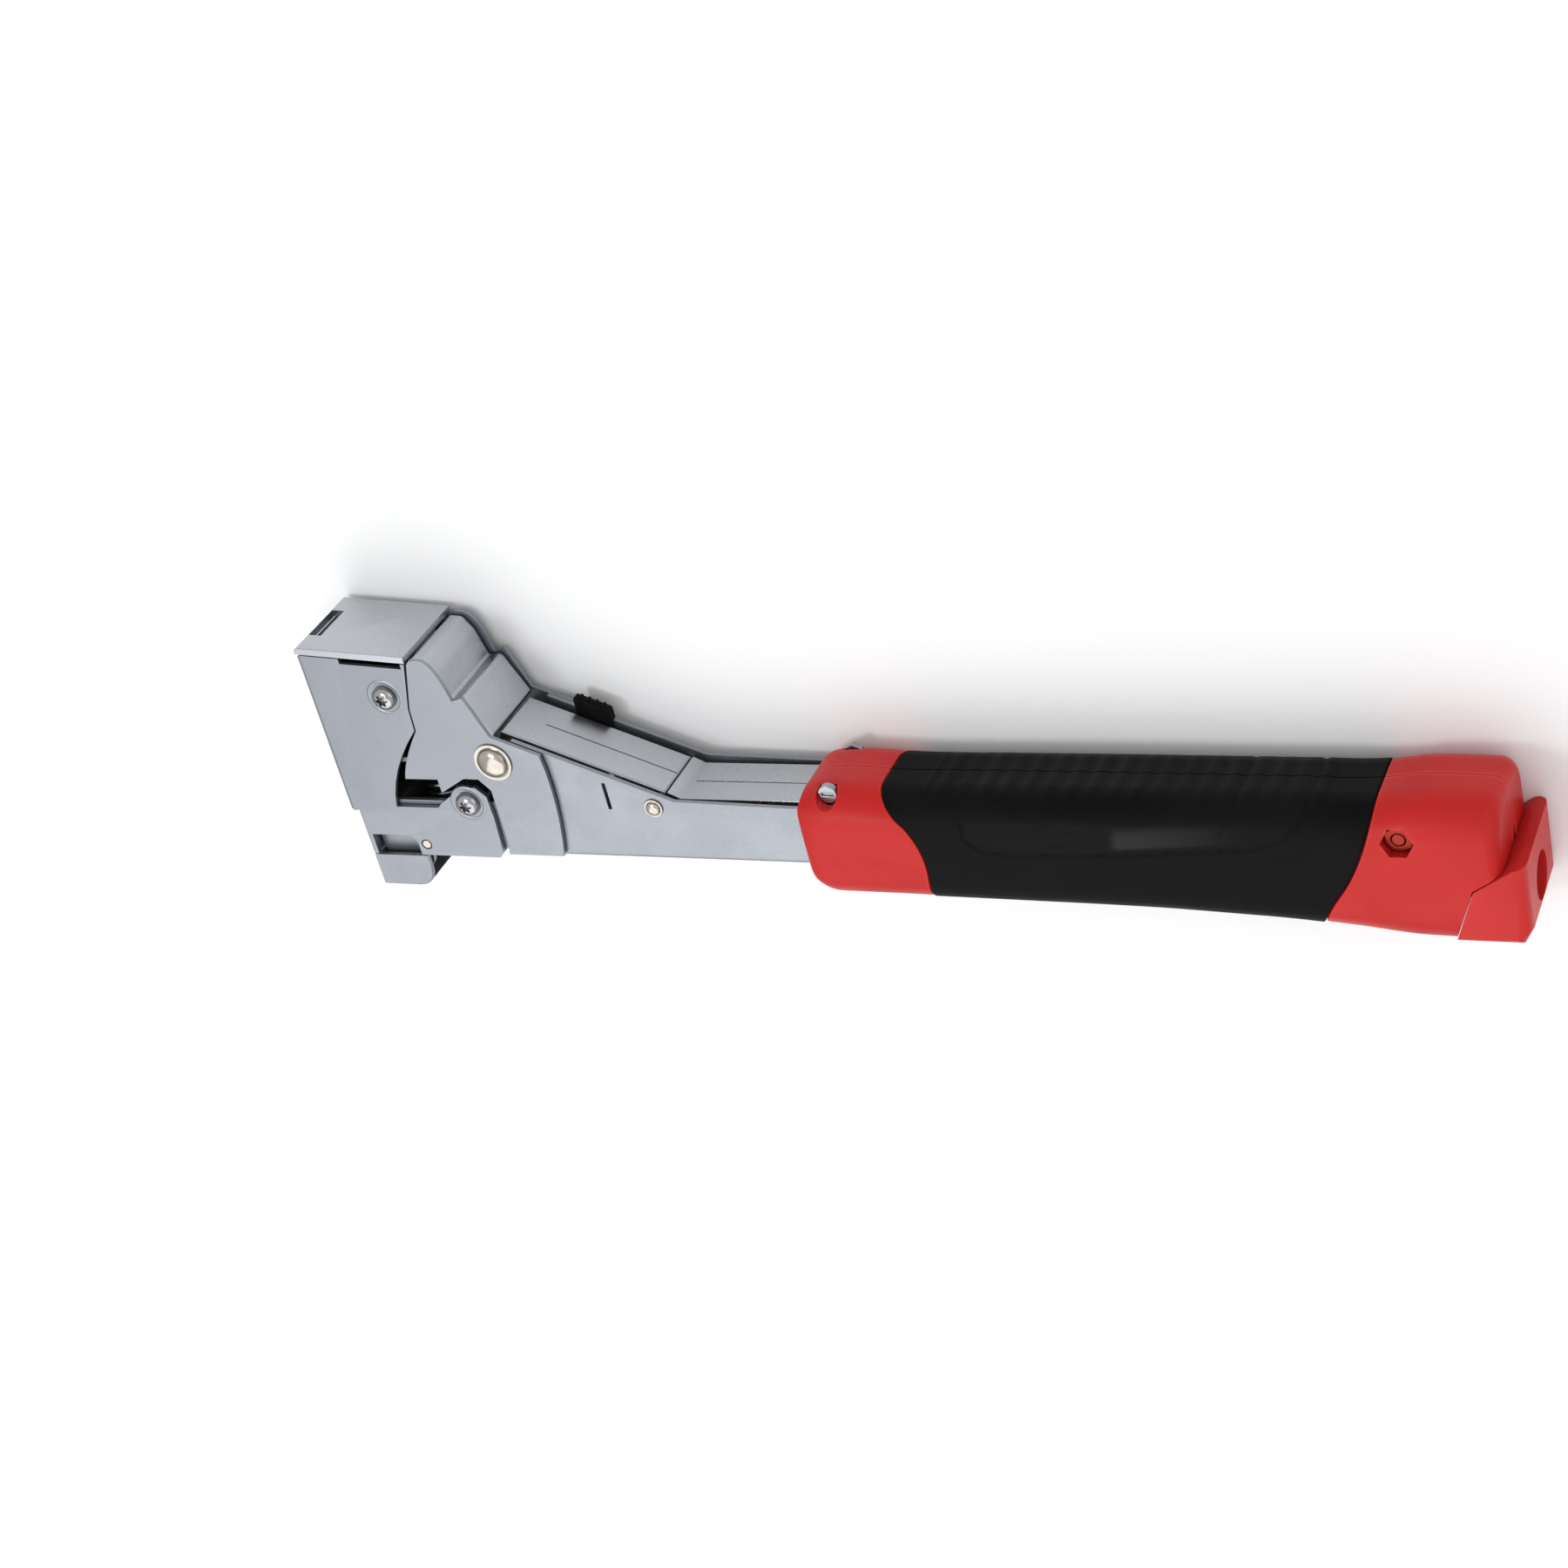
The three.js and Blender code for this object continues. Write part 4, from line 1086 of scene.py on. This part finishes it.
class TACKER_OT_grip_shells(bpy.types.Operator):
    """Mould the two red half shells of the grip"""

    bl_idname = "tacker.grip_shells"
    bl_label = "Grip shells"

    rest_drop = 0.3  # how far the red skin lies below the grip's full size
    seat_drop = 2.2  # the same under the soft cover
    mouth_roll = 9.0
    mouth_lip = 0.30  # the flat lip's share of the way from the opening to the skin
    rear_roll = 3.4
    rear_wall = 9.6
    wall = 4.4

    def stations(self):
        """Columns along the shell: each is a kind and a share of its stretch."""
        plan = [("mouth", i / 3) for i in range(3)]
        plan += [("front", i / 10) for i in range(11)]
        plan += [("collar", i / 22) for i in range(1, 22)]
        plan += [("lip", i) for i in range(4)]
        plan += [("seat", i / 12) for i in range(13)]
        plan += [("rear_lip", i) for i in range(4)]
        plan += [("heel", i / 34) for i in range(1, 34)]
        plan += [("rear", i / 9) for i in range(10)]
        plan += [("end", i / 3) for i in range(1, 4)]
        return plan

    lip = ((0.45, 0.3), (0.16, 0.36), (0.0, 0.62), (0.0, 2.2))  # (distance from the cover's edge, drop)

    def execute(self, context):
        self.grip = context.scene.tacker_grip
        self.plan = self.stations()
        rows = 64
        shell = lofted("Near_grip_shell", rows, len(self.plan) - 1, self.place)
        turn_out(shell)
        self.thicken(shell)
        far = mirrored(shell, "Far_grip_shell")
        kinds = finishes(context)
        for piece, side in ((shell, 1), (far, -1)):
            self.bore(piece, side)
            soften(piece, 0, angle=38)
            node = ("near" if side > 0 else "far") + "_grip_shell"
            finish_piece(piece, kinds["red"], "red_plastic", node)
        return {"FINISHED"}

    def place(self, column, share):
        kind, step = self.plan[column]
        grip, rest = self.grip, self.rest_drop
        if kind in ("mouth", "front"):
            y, z = section(GRIP_FRONT, share, rest, grip)
            mouth_y, mouth_z = self.mouth(share)
            turn = math.pi / 2 * step if kind == "front" else 0
            depth = GRIP_FRONT + self.mouth_roll * (1 - math.cos(turn)) * self.roll(share)
            lip = self.mouth_lip
            across = lip + (1 - lip) * math.sin(turn) if kind == "front" else lip * step
            return at(depth, mouth_y + (y - mouth_y) * across, mouth_z + (z - mouth_z) * across)
        height, _ = section(200, share, rest, grip)
        front, rear = straight_between(height, FRONT_EDGE), straight_between(height, REAR_EDGE)
        if kind == "collar":
            begin = GRIP_FRONT + self.mouth_roll * self.roll(share)
            x, drop = begin + (front - self.lip[0][0] - begin) * step, rest
        elif kind == "lip":
            x, drop = front - self.lip[step][0], self.lip[step][1]
        elif kind == "seat":
            x, drop = front + 0.05 + (rear - front - 0.1) * step, self.seat_drop
        elif kind == "rear_lip":
            x, drop = rear + self.lip[3 - step][0], self.lip[3 - step][1]
        elif kind == "heel":
            begin = rear + self.lip[0][0]
            x, drop = begin + (SHELL_REAR - self.rear_roll - begin) * step, rest
        elif kind == "rear":
            turn = math.pi / 2 * step
            x = SHELL_REAR - self.rear_roll * (1 - math.sin(turn))
            drop = rest + self.rear_roll * (1 - math.cos(turn))
        else:
            x, drop = SHELL_REAR, rest + self.rear_roll + self.rear_wall * step
        y, z = section(x, share, drop, grip)
        return at(x, y, z)

    @staticmethod
    def roll(share):
        """How far back the mouth's rounding reaches: less at the sides, where the wall is thin."""
        return 0.62 + 0.38 * math.cos(2 * math.pi * (share - 0.5)) ** 2 * (1 if share < 0.5 else 0.6)

    @staticmethod
    def mouth(share):
        """Point on the edge of the opening round the steel, share of the way round."""
        y, z = round_box(share, low=-0.35, high=16.4, half=HANDLE_OUTER + 0.35, corner=1.2)
        return y, max(z, SEAM_HALF)

    def thicken(self, shell):
        """Gives the skin its wall: thick at the rear, thinner where the steel runs inside."""
        wall = shell.vertex_groups.new(name="Wall")
        shares = {
            "collar": 0.55, "front": 0.45, "mouth": 0.3, "lip": 0.3, "seat": 0.16, "rear_lip": 0.25,
        }
        for vertex in shell.data.vertices:
            column = vertex.index % len(self.plan)
            wall.add([vertex.index], shares.get(self.plan[column][0], 1.0), "REPLACE")
        apply_modifier(
            shell, "SOLIDIFY", thickness=self.wall * MM, offset=-1, vertex_group="Wall", use_rim=True,
            use_even_offset=False,
        )

    @staticmethod
    def bore(piece, side):
        """Cuts the room for the end cap and the wells of the two screws."""
        cap_line = [(GRIP_REAR + x, y) for x, y in CAP_ROOM]
        cut(piece, prism("Cap_room", cap_line, -BEYOND, BEYOND))
        nut_radius, head_radius = 3.72, 3.4
        rear_well = (nut_radius, 6) if side > 0 else (head_radius, 40)
        for centre, seat, (radius, sides) in ((FRONT_SCREW, 7.4, (2.7, 40)), (REAR_SCREW, 10.4, rear_well)):
            low, high = (seat, BEYOND) if side > 0 else (-BEYOND, -seat)
            cut(piece, prism("Well", ring_outline(centre, lambda a: radius, sides), low, high))


class TACKER_OT_soft_covers(bpy.types.Operator):
    """Mould the two soft black covers with their raised pads"""

    bl_idname = "tacker.soft_covers"
    bl_label = "Soft covers"

    rounding = ((0.0, 0.34), (0.10, 0.14), (0.30, 0.03))  # (distance from the end, drop)
    rib_pitch = 5.2
    rib_share = 0.80  # the ribs lie past this share of the way round

    def execute(self, context):
        self.grip = context.scene.tacker_grip
        self.columns = self.grip.columns
        self.pad_and_sheen_shares = []
        cover = lofted("Near_soft_cover", self.grip.rows, self.columns, self.place)
        turn_out(cover)
        # Per-vertex pad share, from which the cover's finish paints its sheen.
        layer = cover.data.attributes.new("pad", "FLOAT", "POINT")
        layer.data.foreach_set("value", self.pad_and_sheen_shares)
        apply_modifier(
            cover, "SOLIDIFY", thickness=self.grip.cover_wall, offset=-1, use_rim=True,
            use_even_offset=False,
        )
        far = mirrored(cover, "Far_soft_cover")
        for piece, node in ((cover, "near_soft_cover"), (far, "far_soft_cover")):
            soften(piece, 0, angle=55)
            finish_piece(piece, finishes(context)["cover"], "black_rubber", node)
        return {"FINISHED"}

    def place(self, column, share):
        height, _ = section(200, share, 0, self.grip)
        front = straight_between(height, FRONT_EDGE) + 0.3
        rear = straight_between(height, REAR_EDGE) - 0.3
        count = len(self.rounding)
        from_end = min(column, self.columns - column)
        if from_end < count:
            inset, drop = self.rounding[from_end]
            x = front + inset if column < count else rear - inset
        else:
            edge = self.rounding[-1][0] + 0.3
            step = (column - count) / (self.columns - 2 * count)
            x, drop = front + edge + (rear - front - 2 * edge) * step, 0.0
        y, _ = section(x, share, 0, self.grip)
        drop += self.relief(x, y, share)
        y, z = section(x, share, drop, self.grip)
        return at(x, y, z)

    def relief(self, x, y, share):
        """How far the surface lies below the plain grip here: pad, groove, creases and ribs."""
        depth = self.grip.groove / MM
        if share < 0.3:
            self.pad_and_sheen_shares.append(0.0)
            return 0.04
        gap = gap_to((x, y), PAD_LINE)
        groove = depth * math.exp(-((gap / 0.42) ** 2))
        lip = -0.09 * math.exp(-(((gap - 1.05) / 0.45) ** 2))
        crease = sum(0.26 * math.exp(-((gap_to((x, y), line) / 0.36) ** 2)) for line in CREASES)
        inside = 0.0
        if 168 < x < 249 and y > 7:
            inside = min(1.0, gap / 1.6) if y > self.pad_floor(x) else 0.0
        above = y - self.pad_floor(x)
        # The patch of the pad that gets a painted sheen: lighter in colour and smoother.
        sheen_patch = self.ease((x - 202.5) / 3) * self.ease((240 - x) / 34)
        sheen_patch *= self.ease((above - 0.7) / 1.6) * self.ease((7.4 - above) / 3)
        # Pad share, plus the painted sheen patch, for the cover's finish.
        self.pad_and_sheen_shares.append(0.45 * inside + 0.55 * sheen_patch)
        ribs = 0.0
        if share > self.rib_share and 158 < x < 252:
            fade = min(1.0, (share - self.rib_share) / 0.08)
            ribs = 0.34 * fade * (0.5 + 0.5 * math.sin(x * 2 * math.pi / self.rib_pitch))
        return max(0.0, 0.10 + groove + lip + crease - 0.08 * inside) - ribs

    @staticmethod
    def ease(share):
        share = min(1.0, max(0.0, share))
        return share * share * (3 - 2 * share)

    @staticmethod
    def pad_floor(x):
        return straight_between(x, PAD_LINE[1:])


class TACKER_OT_end_cap(bpy.types.Operator):
    """Make the plug-in cap at the end of the grip"""

    bl_idname = "tacker.end_cap"
    bl_label = "End cap"

    def execute(self, context):
        finished_copy("end_cap", finishes(context)["red"], "red_plastic", 0.35, 3, 30)
        return {"FINISHED"}


class TACKER_OT_grip_screws(bpy.types.Operator):
    """Finish the screws and nuts that hold the grip's halves together"""

    bl_idname = "tacker.grip_screws"
    bl_label = "Grip screws"

    def execute(self, context):
        kinds = finishes(context)
        for place, finish in (("front", "spring"), ("rear", "lacquer")):
            for kind in ("screw", "nut"):
                finished_copy(f"{place}_grip_{kind}", kinds[finish], "dark_steel", 0.2, 2, 40)
        return {"FINISHED"}


# Stage ----------------------------------------------------------------


class TACKER_OT_stage(bpy.types.Operator):
    """Lay the floor, hang the lights and place the camera"""

    bl_idname = "tacker.stage"
    bl_label = "Stage"

    camera_place = (0.27175, 0.34666, 0.53420)
    camera_axes = (
        (0.901487, -0.223886, -0.370400), (-0.021196, 0.831946, -0.554452), (0.432287, 0.507682, 0.745243),
    )
    lens = 66.894

    def execute(self, context):
        settings = context.scene.tacker_stage
        context.scene.view_settings.view_transform = "Standard"
        self.floor(settings)
        self.sky(context, settings)
        for name, place, size, power in (
            ("Key_light", (-0.25, -0.55, 0.75), 0.9, settings.key_power),
            ("Fill_light", (0.75, 0.35, 0.55), 0.7, settings.fill_power),
            ("Top_light", (-0.36, 0.12, 0.9), 0.22, settings.fill_power * 1.8),
        ):
            self.light(name, place, size, power)
        self.camera(context)
        return {"FINISHED"}

    @staticmethod
    def floor(settings):
        deselect()
        bpy.ops.mesh.primitive_grid_add(x_subdivisions=12, y_subdivisions=12, size=6)
        floor = added("Floor")
        finish = Finish("Pale_floor", tuple(settings.floor_colour), 0.0, 0.75)
        base = tuple(settings.floor_colour)
        shade = tuple(part * 0.985 for part in base)
        finish.colour(finish.blend(finish.spread(finish.noise(6, 2), 0.3, 0.7), base, shade))
        floor.data.materials.append(finish.material)

    @staticmethod
    def sky(context, settings):
        world = bpy.data.worlds.new("Even_light")
        world.use_nodes = True
        nodes, links = world.node_tree.nodes, world.node_tree.links
        background = nodes["Background"]
        background.inputs["Strength"].default_value = settings.sky_strength
        place = nodes.new("ShaderNodeTexCoord").outputs["Generated"]
        split = nodes.new("ShaderNodeSeparateXYZ")
        ramp = nodes.new("ShaderNodeValToRGB")
        links.new(place, split.inputs["Vector"])
        links.new(split.outputs["Z"], ramp.inputs["Fac"])
        low, high = ramp.color_ramp.elements
        low.position, low.color = 0.05, (0.30, 0.30, 0.31, 1)
        high.position, high.color = 0.55, (1.0, 1.0, 1.0, 1)
        links.new(ramp.outputs["Color"], background.inputs["Color"])
        context.scene.world = world

    @staticmethod
    def light(name, place, size, power):
        deselect()
        bpy.ops.object.light_add(type="AREA", location=place)
        lamp = bpy.context.view_layer.objects.active
        lamp.name = name
        lamp.data.shape = "SQUARE"
        lamp.data.size = size
        lamp.data.energy = power
        lamp.rotation_euler = (-Vector(place)).to_track_quat("-Z", "Y").to_euler()

    def camera(self, context):
        deselect()
        bpy.ops.object.camera_add(location=self.camera_place)
        camera = bpy.context.view_layer.objects.active
        camera.name = "Camera"
        right, up, back = (Vector(axis) for axis in self.camera_axes)
        turn = camera.matrix_world.to_3x3()
        for column, axis in enumerate((right, up, back)):
            turn.col[column] = axis
        camera.rotation_euler = turn.to_euler()
        camera.data.lens = self.lens
        camera.data.sensor_width = 36
        camera.data.clip_start, camera.data.clip_end = 0.01, 20
        context.scene.camera = camera


# Add-on ---------------------------------------------------------------

PIECE_OPERATORS = (
    TACKER_OT_plates, TACKER_OT_channels, TACKER_OT_inner_steel, TACKER_OT_latch, TACKER_OT_rivets,
    TACKER_OT_star_screws, TACKER_OT_springs, TACKER_OT_staples, TACKER_OT_buffer, TACKER_OT_grip_shells,
    TACKER_OT_soft_covers, TACKER_OT_end_cap, TACKER_OT_grip_screws, TACKER_OT_stage,
)


class TACKER_PT_panel(bpy.types.Panel):
    """Lists the steps that make the tool"""

    bl_idname = "TACKER_PT_panel"
    bl_label = "Hammer tacker"
    bl_space_type = "VIEW_3D"
    bl_region_type = "UI"
    bl_category = "Tacker"

    def draw(self, context):
        for kind in PIECE_OPERATORS:
            self.layout.operator(kind.bl_idname)
        for group in ("tacker_steel", "tacker_grip", "tacker_stage"):
            settings = getattr(context.scene, group)
            column = self.layout.column(align=True)
            for key in settings.__annotations__:
                column.prop(settings, key)


SETTINGS = {
    "tacker_steel": TackerSteelSettings,
    "tacker_grip": TackerGripSettings,
    "tacker_stage": TackerStageSettings,
}


def register():
    for kind in (*SETTINGS.values(), *PIECE_OPERATORS, TACKER_PT_panel):
        bpy.utils.register_class(kind)
    for name, kind in SETTINGS.items():
        setattr(bpy.types.Scene, name, PointerProperty(type=kind))


def unregister():
    for name in SETTINGS:
        delattr(bpy.types.Scene, name)
    for kind in (TACKER_PT_panel, *reversed(PIECE_OPERATORS), *reversed(SETTINGS.values())):
        bpy.utils.unregister_class(kind)


def main():
    register()
    for kind in PIECE_OPERATORS:
        group, name = kind.bl_idname.split(".")
        getattr(getattr(bpy.ops, group), name)()


if __name__ == "__main__":
    main()
